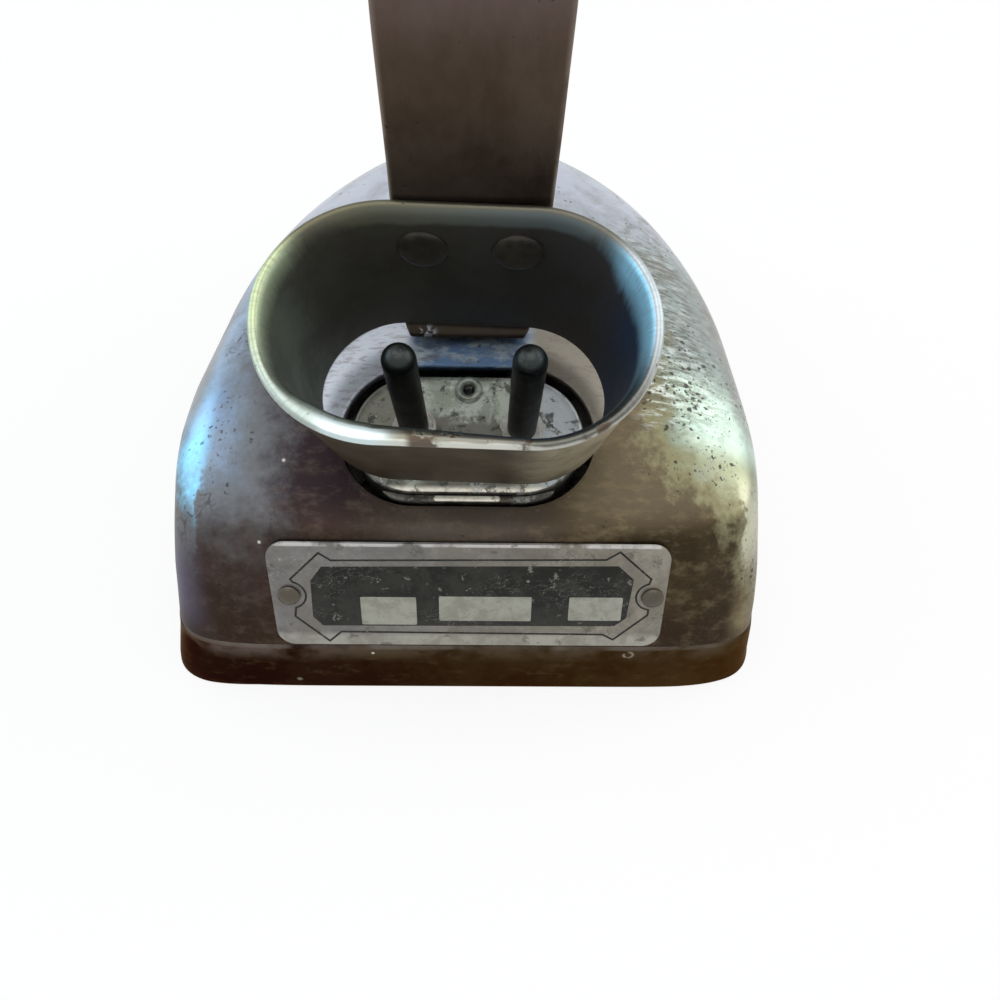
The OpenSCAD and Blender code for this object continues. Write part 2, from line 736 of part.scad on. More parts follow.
module terminal_eyelet() {
  head_d = 3.9;
  bore_d = 1.9;
  lip_t = 0.5;
  color("lightgray") at_terminal() translate([0, eyelet_offset, 0]) difference() {
    union() {
      cylinder(d = head_d, h = lip_t);
      translate([0, 0, block_bottom]) cylinder(d = eyelet_hole_d, h = -block_bottom);
      translate([0, 0, block_bottom - lip_t]) cylinder(d = head_d, h = lip_t);
    }
    translate([0, 0, block_bottom - 2]) cylinder(d = bore_d, h = 10);
  }
}

// Bracket that carries the insulating block on the pressure plate
bracket_t = 1.2;
bracket_leg_x = 15.4;
bracket_leg_w = 6.5;
bracket_foot = 8;
shelf_over = 0.5;
screw_depth = 5;
screw_short = 0.5;
screw_head_d = bolt_d * 1.9;
screw_head_h = 1.8;
shelf_hole_d = nut_small_af * 1.6;
bracket_y = from_terminal(0, block_bottom)[0];
module at_each_bracket_screw() {
  for (side = [-1, 1])
    translate([side * (bracket_leg_x + bracket_t + bracket_foot / 2), bracket_y, 0]) children();
}
module terminal_bracket() {
  leg_rear = bracket_y - bracket_leg_w / 2;
  leg_front = bracket_y + bracket_leg_w / 2;
  shelf_half = bracket_leg_x + bracket_t + 0.2;
  shelf_reach = bracket_leg_w / 2 / cos(term_tilt) + shelf_over;
  color("gray") {
    at_terminal() difference() {
      translate([-shelf_half, -shelf_reach, block_bottom - bracket_t])
        cube([2 * shelf_half, 2 * shelf_reach, bracket_t]);
      at_each_pin() translate([0, 0, block_bottom - 3]) cylinder(d = shelf_hole_d, h = 6);
    }
    in_frame() for (side = [-1, 1]) translate([side * (bracket_leg_x + bracket_t / 2), 0, 0])
      across([
        [leg_rear, press_top], [leg_front, press_top],
        [leg_front, shelf_z(leg_front)], [leg_rear, shelf_z(leg_rear)]
      ], bracket_t);
    in_frame() difference() {
      for (side = [0, 1]) mirror([side, 0, 0]) translate([bracket_leg_x, leg_rear, press_top])
        cube([bracket_t + bracket_foot, bracket_leg_w, bracket_t]);
      at_each_bracket_screw() translate([0, 0, press_top - 1]) cylinder(d = bolt_d + 2 * fit, h = 4);
    }
  }
}
// Height of the middle of the bracket's shelf at a distance from the heel
function shelf_z(y) = from_terminal(0, block_bottom)[1] + (y - bracket_y) * tan(term_tilt)
  - bracket_t / 2 / cos(term_tilt);
module bracket_screws() {
  color("silver") in_frame() at_each_bracket_screw() {
    translate([0, 0, press_top + bracket_t]) cylinder(d = screw_head_d, h = screw_head_h);
    translate([0, 0, press_top - screw_depth + screw_short])
      cylinder(d = bolt_d, h = screw_depth + bracket_t - screw_short);
  }
}

// Flat leads from the ends of the ribbon up to the shanks of the pins
lead_width = 5;
lead_reach = 5.4;
// Room in front of and behind a lead where it goes up through the pressure plate
lead_room = 3;
lead_eye = from_terminal(pin_offset, lead_w);
lead_corner = from_terminal(pin_offset - lead_reach, lead_w);
lead_riser_y = lead_corner[0];
lead_foot_z = upper_mica_z + lead_t / 2;
module lead_slots(rear, front, bottom, height) {
  for (side = [-1, 1])
    translate([side * pin_pitch / 2 - lead_width / 2 - 1, rear, bottom])
      cube([lead_width + 2, front - rear, height]);
}
module lead(side) {
  path = bent(
    [
      [ribbon_first - ribbon_w / 2, lead_foot_z], [lead_riser_y, lead_foot_z], lead_corner,
      from_terminal(pin_offset + lead_width / 2, lead_w)
    ],
    [1, 1],
    3
  );
  difference() {
    in_frame() translate([side * pin_pitch / 2, 0, 0]) across(strip_outline(path, lead_t), lead_width);
    at_terminal() translate([side * pin_pitch / 2, pin_offset, lead_w - 2])
      cylinder(d = shank_d + 2 * fit, h = 4);
  }
}
module left_lead() {
  color("goldenrod") lead(-1);
}
module right_lead() {
  color("goldenrod") lead(1);
}

// Bare nameplate on the heel wall and its two drive pins
plate_pin_d = 1.6;
plate_seat = 0.12;
module at_each_plate_pin() {
  for (side = [-1, 1]) translate([side * (plate_w / 2 - plate_pin_inset), 0, 0]) children();
}
module nameplate() {
  inner_w = plate_w - 2 * plate_corner;
  inner_h = plate_h - 2 * plate_corner;
  color("silver") at_nameplate() translate([0, 0, plate_seat]) difference() {
    union() {
      for (x = [-1, 1]) for (y = [-1, 1]) translate([x * inner_w / 2, y * inner_h / 2, 0])
        cylinder(r = plate_corner, h = plate_t);
      translate([-plate_w / 2, -inner_h / 2, 0]) cube([plate_w, inner_h, plate_t]);
      translate([-inner_w / 2, -plate_h / 2, 0]) cube([inner_w, plate_h, plate_t]);
    }
    at_each_plate_pin() translate([0, 0, -1]) cylinder(d = plate_pin_d + 2 * fit, h = plate_t + 2);
  }
}
module nameplate_pins() {
  head_t = 1.1;
  shank = 3;
  dome_r = (plate_pin_head * plate_pin_head / 4 + head_t * head_t) / (2 * head_t);
  color("dimgray") at_nameplate() at_each_plate_pin() {
    translate([0, 0, -shank]) cylinder(d = plate_pin_d, h = shank + plate_seat + plate_t);
    translate([0, 0, plate_seat + plate_t]) intersection() {
      translate([0, 0, head_t - dome_r]) sphere(r = dome_r);
      cylinder(d = plate_pin_head, h = head_t + 1);
    }
  }
}

sole_plate();
lower_mica();
heating_element();
upper_mica();
pressure_plate();
insulating_board();
rear_stud();
front_stud();
clamp_nuts();
top_cover();
handle_strap();
handle_washers();
cap_nuts();
wooden_grip();
rear_ferrule();
front_ferrule();
grip_rod();
grip_nuts();
plug_collar();
collar_rivets();
terminal_cap();
terminal_block();
terminal_bracket();
bracket_screws();
terminal_eyelet();
left_terminal_pin();
right_terminal_pin();
pin_bushings();
pin_nuts();
left_lead();
right_lead();
nameplate();
nameplate_pins();
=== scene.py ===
"""Looks for an old plated electric iron: smooth shells, worn metal finishes, floor, light and camera."""

import json
import math

import bmesh
import bpy
import numpy as np
from mathutils import Matrix, Vector, noise


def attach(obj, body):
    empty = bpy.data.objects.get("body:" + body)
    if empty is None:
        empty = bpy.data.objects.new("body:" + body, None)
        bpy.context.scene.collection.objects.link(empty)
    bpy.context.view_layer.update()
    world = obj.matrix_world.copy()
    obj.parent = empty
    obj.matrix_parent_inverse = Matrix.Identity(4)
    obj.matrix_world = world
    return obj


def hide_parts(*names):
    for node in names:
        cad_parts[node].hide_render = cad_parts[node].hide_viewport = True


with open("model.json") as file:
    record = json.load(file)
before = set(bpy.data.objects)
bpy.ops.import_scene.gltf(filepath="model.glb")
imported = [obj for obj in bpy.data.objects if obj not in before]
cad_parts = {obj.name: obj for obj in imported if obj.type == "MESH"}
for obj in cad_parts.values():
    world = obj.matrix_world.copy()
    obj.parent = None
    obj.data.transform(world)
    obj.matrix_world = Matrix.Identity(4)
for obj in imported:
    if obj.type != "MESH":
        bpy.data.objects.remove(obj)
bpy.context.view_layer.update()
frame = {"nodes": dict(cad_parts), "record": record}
MM = 0.001

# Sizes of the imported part, in millimetres, measured from the heel line as in the part's source
SOLE_LENGTH, SOLE_HALF, SEAM_Z, SOLE_FLARE, END_FLARE = 165.0, 54.3, 13.6, 2.9, 0.6
SOLE_EDGE, STEP_HEIGHT, STEP_INSET = 0.8, 2.0, 1.4
TERM_Y, TERM_Z, TILT = 23.2, 42.1, math.radians(25)
CROWN_Z, CROWN_HALF, CROWN_FRONT, COVER_WALL = 52.0, 11.5, 104.0, 1.2
HEEL_LEAN, HEEL_POWER, CROWN_POWER = math.radians(18.5), 8.7, 2.9
SIDE_POWER, SIDE_ROUND, NOSE_POWER, NOSE_ROUND = 7.0, 1.6, 1.2, 0.65
TOE_POWER, SEAM_TOE_ROUND, CROWN_TOE_ROUND = 1.9, 0.79, 0.39
SEAM_WIDEST, CROWN_WIDEST, SHOULDER_BLEND, CROWN_EASE = 0.2, 0.4, 1.6, 1.2
CAP_STRAIGHT, CAP_RADIUS, CAP_GAP, CAP_SKIRT = 17.0, 10.5, 1.5, 9.0
PIN_D, PIN_PITCH, PIN_STRAIGHT, PIN_OFFSET, EYELET_OFFSET = 4.76, 17.46, 23.6, 1.0, 7.3
COLLAR_STRAIGHT, COLLAR_RADIUS, COLLAR_WALL = 19.2, 13.2, 1.4
COLLAR_FLARE, COLLAR_TAPER, COLLAR_LENGTH = math.radians(5.4), math.radians(4.3), 26.1
COLLAR_LIFT, COLLAR_OFFSET, RIM_R, RIM_OVER, MOUTH_DEPTH = 3.6, 4.4, 0.8, 0.2, 4.0
RIVET_PITCH, RIVET_DROP, RIVET_HEAD_D = 13.5, 7.4, 7.2
STRAP_T, STRAP_W, STRAP_FOOT_W = 2.8, 22.3, 22.0
REAR_LEG_Y, FRONT_LEG_Y, FRONT_BEND_Y, GRIP_Z = 27.0, 127.0, 101.0, 118.0
GRIP_R, GRIP_END_R, ROD_D, FERRULE_LENGTH, FERRULE_WALL = 15.5, 12.0, 5.0, 7.0, 1.0
REAR_STUD_Y, FRONT_STUD_Y, NUT_AF, NUT_H, WASHER_T = 56.0, 90.0, 10.0, 5.0, 1.2
PLATE_H, PLATE_T, PLATE_CORNER = 19.0, 0.5, 3.0
PLATE_PIN_HEAD, PLATE_MARGIN, PLATE_SEAT = 3.6, 1.7, 0.12

COLLAR_OUT = COLLAR_RADIUS + COLLAR_WALL
LEG_SLOPE = math.tan(COLLAR_FLARE)
RIM_W = COLLAR_LENGTH - RIM_R
RIM_X = COLLAR_OUT + RIM_W * LEG_SLOPE + RIM_OVER - RIM_R
SEAM_HALF, SEAM_TOE = SOLE_HALF - SOLE_FLARE, SOLE_LENGTH - END_FLARE
HOLE_RADIUS = CAP_RADIUS + CAP_GAP
CROWN_TOP = CROWN_Z + STRAP_T


def from_terminal(y, w):
    """A point on the terminal face's own axes, as distance from the heel and height."""
    return (TERM_Y + y * math.cos(TILT) - w * math.sin(TILT),
            TERM_Z + y * math.sin(TILT) + w * math.cos(TILT))


EYELET_PLACE, EYELET_BOTTOM = EYELET_OFFSET + 0.5, -1.9
REACH = min(0.0, from_terminal(COLLAR_OFFSET - RIM_X, COLLAR_LIFT + RIM_W)[0] - RIM_R)
SHIFT = -(SOLE_LENGTH + REACH) / 2

# Turns and places that carry a piece's own axes, in millimetres, to the iron
IN_FRAME = Matrix.Translation((0, SHIFT, 0))
AT_TERMINAL = IN_FRAME @ Matrix.Translation((0, TERM_Y, TERM_Z)) @ Matrix.Rotation(TILT, 4, "X")
AT_COLLAR = AT_TERMINAL @ Matrix.Translation((0, COLLAR_OFFSET, COLLAR_LIFT))
PLATE_Z = SEAM_Z + (PLATE_H / 2 + PLATE_MARGIN) * math.cos(HEEL_LEAN)
AT_NAMEPLATE = (IN_FRAME
                @ Matrix.Translation((0, END_FLARE + (PLATE_Z - SEAM_Z) * math.tan(HEEL_LEAN), PLATE_Z))
                @ Matrix.Rotation(math.pi / 2 - HEEL_LEAN, 4, "X"))
TERMINAL_PLACE = AT_TERMINAL.translation * MM
BORE_BOTTOM = (AT_TERMINAL @ Vector((0, EYELET_PLACE, EYELET_BOTTOM)))[1:]


# ---------------------------------------------------------------- mesh helpers
def new_object(name, mesh):
    obj = bpy.data.objects.new(name, mesh)
    bpy.context.scene.collection.objects.link(obj)
    return obj


def mesh_from(name, verts, faces, place=IN_FRAME):
    """A mesh from points in millimetres on a piece's own axes, placed on the iron in metres."""
    mesh = bpy.data.meshes.new(name)
    mesh.from_pydata([place @ Vector(v) * MM for v in verts], [], faces)
    mesh.validate()
    return mesh


def finish_mesh(obj, angle=35.0, merge=0.0002):
    """Merges doubles, points the normals outward and shades smooth below an angle."""
    bm = bmesh.new()
    bm.from_mesh(obj.data)
    bmesh.ops.remove_doubles(bm, verts=bm.verts, dist=merge * MM)
    bmesh.ops.recalc_face_normals(bm, faces=bm.faces)
    for face in bm.faces:
        face.smooth = True
    limit = math.radians(angle)
    for edge in bm.edges:
        edge.smooth = len(edge.link_faces) != 2 or edge.calc_face_angle(0) < limit
    bm.to_mesh(obj.data)
    bm.free()
    return obj


def ring_faces(rings, count, closed=False, caps=True):
    """Faces between rings of count points each, with end caps or joined into a loop."""
    faces = []
    for k in range(rings if closed else rings - 1):
        a0, b0 = k * count, ((k + 1) % rings) * count
        for i in range(count):
            j = (i + 1) % count
            faces.append((a0 + i, a0 + j, b0 + j, b0 + i))
    if caps and not closed:
        faces.append(tuple(range(count - 1, -1, -1)))
        faces.append(tuple((rings - 1) * count + i for i in range(count)))
    return faces


def dress(obj, material, slot, *nodes):
    """Gives a finished piece its material, its body and the solids that it stands for."""
    if material is not None:
        obj.data.materials.clear()
        obj.data.materials.append(material)
    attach(obj, "root")
    if nodes:
        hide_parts(*nodes)
    return obj


def lathe(name, profile, place, steps=64):
    """A turned piece from (radius, height) points on the Z axis of its place."""
    verts = []
    for r, h in profile:
        for i in range(steps):
            a = 2 * math.pi * i / steps
            verts.append((r * math.cos(a), r * math.sin(a), h))
    mesh = mesh_from(name, verts, ring_faces(len(profile), steps), place)
    return new_object(name, mesh)


def arc(centre, radius, start, end, steps):
    """Points of an arc in a profile, with angles in degrees."""
    return [(centre[0] + radius * math.cos(math.radians(start + (end - start) * i / steps)),
             centre[1] + radius * math.sin(math.radians(start + (end - start) * i / steps)))
            for i in range(steps + 1)]


# ---------------------------------------------------------------- forms of the body
def mix(a, b, f):
    return a + (b - a) * f


def soft_max(a, b, k):
    return (a + b + math.sqrt((a - b) ** 2 + k * k)) / 2


def half_outline(half, heel, widest, toe, power, toe_round, count):
    """Right half of the iron's plan, from the middle of the heel to the toe, evenly spaced."""
    points = []
    for i in range(400):
        a = math.pi / 2 * i / 400
        r = (math.sin(a) ** power + math.cos(a) ** power) ** (-1 / power)
        points.append((half * r * math.sin(a), widest - (widest - heel) * r * math.cos(a)))
    for i in range(401):
        v = 1 - (1 - i / 400) ** 2.2
        points.append((half * max(0.0, 1 - v ** TOE_POWER) ** toe_round, widest + (toe - widest) * v))
    line = np.array(points)
    length = np.concatenate([[0], np.cumsum(np.hypot(*np.diff(line, axis=0).T))])
    at = np.linspace(0, length[-1], count)
    return np.stack([np.interp(at, length, line[:, 0]), np.interp(at, length, line[:, 1])], 1)


def whole_outline(right, z):
    """The closed plan at a height, from its right half."""
    left = right[-2:0:-1] * [-1, 1]
    flat = np.concatenate([right, left])
    return [(x, y, z) for x, y in flat]


def rise(z, wall=0.0):
    return min(1.0, max(0.0, (z - SEAM_Z) / (CROWN_Z - wall - SEAM_Z)))


def heel_line(z, wall=0.0):
    return soft_max(
        END_FLARE + (z - SEAM_Z) * math.tan(HEEL_LEAN) + wall / math.cos(HEEL_LEAN),
        TERM_Y + (z - TERM_Z + wall / math.cos(TILT)) / math.tan(TILT),
        SHOULDER_BLEND) + CROWN_EASE * rise(z, wall) ** 12


def section_sizes(z, wall=0.0):
    """Half width, heel, widest place, toe, heel power and toe roundness at a height."""
    f = rise(z, wall)
    return (mix(SEAM_HALF, CROWN_HALF, 1 - (1 - f ** SIDE_POWER) ** SIDE_ROUND) - wall,
            heel_line(z, wall),
            mix(SEAM_WIDEST, CROWN_WIDEST, f ** 0.75) * SOLE_LENGTH,
            mix(CROWN_FRONT, SEAM_TOE, (1 - f ** NOSE_POWER) ** NOSE_ROUND) - wall,
            mix(HEEL_POWER, CROWN_POWER, f),
            mix(SEAM_TOE_ROUND, CROWN_TOE_ROUND, f))


def cover_ring(z, wall, count):
    return whole_outline(half_outline(*section_sizes(z, wall), count), z)


def seam_outline(inset, z, count):
    return whole_outline(half_outline(
        SEAM_HALF - inset, END_FLARE + inset, SEAM_WIDEST * SOLE_LENGTH,
        SEAM_TOE - inset * 1.8, HEEL_POWER, SEAM_TOE_ROUND, count), z)


def sole_outline(flare, ends, z, count):
    return whole_outline(half_outline(
        SOLE_HALF - flare, ends, SEAM_WIDEST * SOLE_LENGTH,
        SOLE_LENGTH - ends, HEEL_POWER, SEAM_TOE_ROUND, count), z)


def cover_height(x, y):
    """Height of the cover's outside over the terminal face, at a point on that face's axes."""
    low, high = -6.0, 6.0
    for _ in range(40):
        w = (low + high) / 2
        d, z = from_terminal(y, w)
        half, heel, widest, _toe, power, _round = section_sizes(z)
        edge = widest - (widest - heel) * max(0.0, 1 - (abs(x) / half) ** power) ** (1 / power)
        if d > edge:
            low = w
        else:
            high = w
    return (low + high) / 2


def oval(straight, radius, count):
    """Points and outward directions round a shape with straight sides and two round ends."""
    quarter = count // 4
    places, outward = [], []
    for side, first in ((1, -90), (-1, 90)):
        for i in range(2 * quarter):
            a = math.radians(first + 180 * i / (2 * quarter - 1))
            out = (math.cos(a), math.sin(a))
            places.append((side * straight / 2 + radius * out[0], radius * out[1]))
            outward.append(out)
    return places, outward


def reshaped(obj, place, rule):
    """Moves each point of a piece by a rule in millimetres on the axes of a place."""
    there = Matrix.Scale(MM, 4) @ place
    back = there.inverted()
    for v in obj.data.vertices:
        v.co = there @ Vector(rule(*(back @ v.co)))
    obj.data.update()
    return obj


def dented(obj, size, depth, seed):
    """Moves the skin in and out by a very small amount, as old sheet metal has it."""
    offset = Vector((seed * 7.13, seed * 3.71, seed * 1.97))
    mesh = obj.data
    normals = [v.normal.copy() for v in mesh.vertices]
    for v, n in zip(mesh.vertices, normals):
        v.co += n * (noise.noise(v.co / (size * MM) + offset) - 0.3) * depth * MM
    mesh.update()
    return obj


# ---------------------------------------------------------------- node helpers
class Nodes:
    """Short calls that build a node tree; an input may be a number, a colour or a socket."""

    def __init__(self, tree):
        self.tree = tree

    def put(self, socket, value):
        if isinstance(value, bpy.types.NodeSocket):
            self.tree.links.new(value, socket)
        elif hasattr(value, "__len__") and len(value) == 3 and socket.type == "RGBA":
            socket.default_value = (*value, 1.0)
        else:
            socket.default_value = value

    def add(self, kind, inputs=None, **settings):
        node = self.tree.nodes.new(kind)
        for key, value in settings.items():
            setattr(node, key, value)
        for key, value in (inputs or {}).items():
            self.put(node.inputs[key], value)
        return node

    def math(self, operation, a, b=0.0, clamp=False):
        node = self.add("ShaderNodeMath", {0: a, 1: b}, operation=operation, use_clamp=clamp)
        return node.outputs[0]

    def vector_math(self, operation, a, b):
        return self.add("ShaderNodeVectorMath", {0: a, 1: b}, operation=operation).outputs[0]

    def ramp(self, value, low, high, start=0.0, end=1.0):
        """Goes smoothly from start to end as the value goes from low to high."""
        node = self.add("ShaderNodeMapRange", {"Value": value, "From Min": low, "From Max": high,
                                               "To Min": start, "To Max": end},
                        interpolation_type="SMOOTHSTEP")
        return node.outputs["Result"]

    def noise(self, vector, scale, detail=4.0, roughness=0.55, distortion=0.0):
        node = self.add("ShaderNodeTexNoise", {"Vector": vector, "Scale": scale, "Detail": detail,
                                               "Roughness": roughness, "Distortion": distortion})
        return node.outputs["Fac"]

    def blend(self, factor, a, b, kind="MIX"):
        """Blends two colours."""
        node = self.add("ShaderNodeMix", data_type="RGBA", blend_type=kind)
        self.put(node.inputs["Factor"], factor)
        colours = [s for s in node.inputs if s.type == "RGBA"]
        self.put(colours[0], a)
        self.put(colours[1], b)
        return next(s for s in node.outputs if s.type == "RGBA")

    def between(self, factor, a, b):
        """Blends two numbers."""
        node = self.add("ShaderNodeMix", data_type="FLOAT")
        self.put(node.inputs["Factor"], factor)
        numbers = [s for s in node.inputs if s.type == "VALUE" and s.name in ("A", "B")]
        self.put(numbers[0], a)
        self.put(numbers[1], b)
        return next(s for s in node.outputs if s.type == "VALUE")

    def scaled(self, vector, scale, location=(0, 0, 0), turn=(0, 0, 0), kind="POINT"):
        node = self.add("ShaderNodeMapping", {"Vector": vector, "Scale": scale, "Rotation": turn,
                                              "Location": location}, vector_type=kind)
        return node.outputs["Vector"]

    def group(self, group, **inputs):
        """Places a shared effect; its inputs are given by name, with _ for a space."""
        node = self.add("ShaderNodeGroup", node_tree=group)
        for key, value in inputs.items():
            self.put(node.inputs[key.replace("_", " ")], value)
        return node.outputs


def shared_effect(name, inputs, outputs):
    """An empty shader node group with named inputs and outputs."""
    tree = bpy.data.node_groups.new(name, "ShaderNodeTree")
    for title, kind, value in inputs:
        socket = tree.interface.new_socket(title, in_out="INPUT", socket_type=kind)
        if value is not None:
            socket.default_value = value
    for title, kind in outputs:
        tree.interface.new_socket(title, in_out="OUTPUT", socket_type=kind)
    build = Nodes(tree)
    enter = build.add("NodeGroupInput")
    leave = build.add("NodeGroupOutput")
    return tree, build, enter.outputs, leave


FLOAT, VECTOR, COLOUR = "NodeSocketFloat", "NodeSocketVector", "NodeSocketColor"


def make_patches():
    """Cloudy patches of tarnish, stain or bare metal with ragged edges."""
    tree, b, given, leave = shared_effect(
        "patches", [("Vector", VECTOR, None), ("Scale", FLOAT, 60.0), ("Cover", FLOAT, 0.5),
                    ("Softness", FLOAT, 0.12)], [("Mask", FLOAT)])
    broad = b.noise(given["Vector"], given["Scale"], 6.0, 0.62, 0.4)
    fine = b.noise(given["Vector"], b.math("MULTIPLY", given["Scale"], 7.0), 4.0, 0.6)
    value = b.math("ADD", b.math("MULTIPLY", broad, 0.8), b.math("MULTIPLY", fine, 0.2))
    edge = b.math("SUBTRACT", 1.0, given["Cover"])
    low = b.math("SUBTRACT", edge, given["Softness"])
    high = b.math("ADD", edge, given["Softness"])
    b.put(leave.inputs["Mask"], b.ramp(b.ramp(value, 0.25, 0.75), low, high))
    return tree


def make_pits():
    """Small dark corrosion pits of different sizes that lie in clusters."""
    tree, b, given, leave = shared_effect(
        "corrosion pits", [("Vector", VECTOR, None), ("Scale", FLOAT, 500.0), ("Amount", FLOAT, 0.5)],
        [("Mask", FLOAT), ("Height", FLOAT)])
    warp = b.add("ShaderNodeTexNoise", {"Vector": given["Vector"], "Scale": b.math("MULTIPLY", given["Scale"], 1.6),
                                        "Detail": 2.0})
    shaken = b.vector_math("ADD", given["Vector"],
                           b.vector_math("MULTIPLY", warp.outputs["Color"], (0.0011, 0.0011, 0.0011)))
    cells = b.add("ShaderNodeTexVoronoi", {"Vector": shaken, "Scale": given["Scale"], "Randomness": 1.0})
    size = b.add("ShaderNodeSeparateColor", {"Color": cells.outputs["Color"]}).outputs[0]
    chance = b.math("SUBTRACT", b.math("ADD", size, given["Amount"]), 1.0)
    reach = b.math("MULTIPLY", b.math("MAXIMUM", chance, 0.0), 0.7)
    mask = b.ramp(b.math("SUBTRACT", reach, cells.outputs["Distance"]), -0.05, 0.15)
    b.put(leave.inputs["Mask"], mask)
    b.put(leave.inputs["Height"], b.math("SUBTRACT", 1.0, mask))
    return tree


def make_scratches():
    """Thin scratches in one direction; the vector is already stretched along them."""
    tree, b, given, leave = shared_effect(
        "scratches", [("Vector", VECTOR, None), ("Scale", FLOAT, 1.0), ("Amount", FLOAT, 0.5)],
        [("Mask", FLOAT), ("Height", FLOAT)])
    lines = b.noise(given["Vector"], given["Scale"], 3.0, 0.7)
    thin = b.math("ABSOLUTE", b.math("SUBTRACT", lines, 0.5))
    width = b.math("MULTIPLY", given["Amount"], 0.03)
    line = b.math("SUBTRACT", 1.0, b.ramp(thin, 0.0, b.math("ADD", width, 0.001)))
    gaps = b.noise(given["Vector"], b.math("MULTIPLY", given["Scale"], 0.23), 2.0)
    mask = b.math("MULTIPLY", line, b.ramp(gaps, 0.45, 0.6))
    b.put(leave.inputs["Mask"], mask)
    b.put(leave.inputs["Height"], b.math("SUBTRACT", 1.0, mask))
    return tree


def make_specks():
    """Tiny pale specks of dust and lint stuck on the surface."""
    tree, b, given, leave = shared_effect(
        "stuck specks", [("Vector", VECTOR, None), ("Scale", FLOAT, 300.0), ("Amount", FLOAT, 0.1)],
        [("Mask", FLOAT)])
    cells = b.add("ShaderNodeTexVoronoi", {"Vector": given["Vector"], "Scale": given["Scale"]})
    chance = b.add("ShaderNodeSeparateColor", {"Color": cells.outputs["Color"]}).outputs[1]
    picked = b.ramp(chance, b.math("SUBTRACT", 1.0, given["Amount"]), 1.0)
    spot = b.math("SUBTRACT", 1.0, b.ramp(cells.outputs["Distance"], 0.04, 0.16))
    b.put(leave.inputs["Mask"], b.math("MULTIPLY", picked, spot))
    return tree


PATCHES, PITS, SCRATCHES, SPECKS = make_patches(), make_pits(), make_scratches(), make_specks()


class Finish(Nodes):
    """A material: its tree, its own coordinates in metres and one Principled shader."""

    def __init__(self, name, **settings):
        self.material = bpy.data.materials.new(name)
        self.material.use_nodes = True
        tree = self.material.node_tree
        tree.nodes.clear()
        super().__init__(tree)
        self.place = self.add("ShaderNodeTexCoord").outputs["Object"]
        axes = self.add("ShaderNodeSeparateXYZ", {0: self.place})
        self.x, self.y, self.z = (self.math("MULTIPLY", axes.outputs[i], 1000.0) for i in range(3))
        self.shader = self.add("ShaderNodeBsdfPrincipled")
        for key, value in settings.items():
            self.shader.inputs[key.replace("_", " ")].default_value = value
        out = self.add("ShaderNodeOutputMaterial")
        tree.links.new(self.shader.outputs[0], out.inputs["Surface"])

    def surface(self, colour, roughness, metallic=None, height=None, depth=0.0002, strength=0.6):
        self.put(self.shader.inputs["Base Color"], colour)
        self.put(self.shader.inputs["Roughness"], roughness)
        if metallic is not None:
            self.put(self.shader.inputs["Metallic"], metallic)
        if height is not None:
            bump = self.add("ShaderNodeBump", {"Height": height, "Strength": strength, "Distance": depth})
            self.put(self.shader.inputs["Normal"], bump.outputs[0])
        return self.material

    def add_up(self, *parts):
        """A weighted sum of (value, weight) pairs."""
        total = None
        for value, weight in parts:
            part = weight if value == 1.0 else self.math("MULTIPLY", value, weight)
            total = part if total is None else self.math("ADD", total, part)
        return total

    def blob(self, centre_mm, full, gone):
        """A spot round a point of the iron: 1 up to one distance in millimetres, 0 from the other on."""
        away = self.add("ShaderNodeVectorMath", {0: self.place, 1: tuple(c * MM for c in centre_mm)},
                        operation="DISTANCE").outputs["Value"]
        return self.ramp(away, gone * MM, full * MM)

    def off_oval(self, x, y):
        """Distance from the middle line of the collar's oval, with the nearest point's x and the way to it."""
        along = self.math("MINIMUM", self.math("MAXIMUM", x, -COLLAR_STRAIGHT / 2), COLLAR_STRAIGHT / 2)
        dx, dy = self.math("SUBTRACT", x, along), self.math("SUBTRACT", y, COLLAR_OFFSET)
        square = self.add_up((self.math("MULTIPLY", dx, dx), 1.0), (self.math("MULTIPLY", dy, dy), 1.0))
        return self.math("MAXIMUM", self.math("SQRT", square), 0.5), along, dx, dy

    def own_axes(self):
        """Place on the terminal face's own axes: the vector in metres and its parts in millimetres."""
        own = self.scaled(self.place, (1, 1, 1), location=TERMINAL_PLACE, turn=(TILT, 0, 0), kind="TEXTURE")
        axes = self.add("ShaderNodeSeparateXYZ", {0: own})
        return (own, *(self.math("MULTIPLY", axes.outputs[i], 1000.0) for i in range(3)))


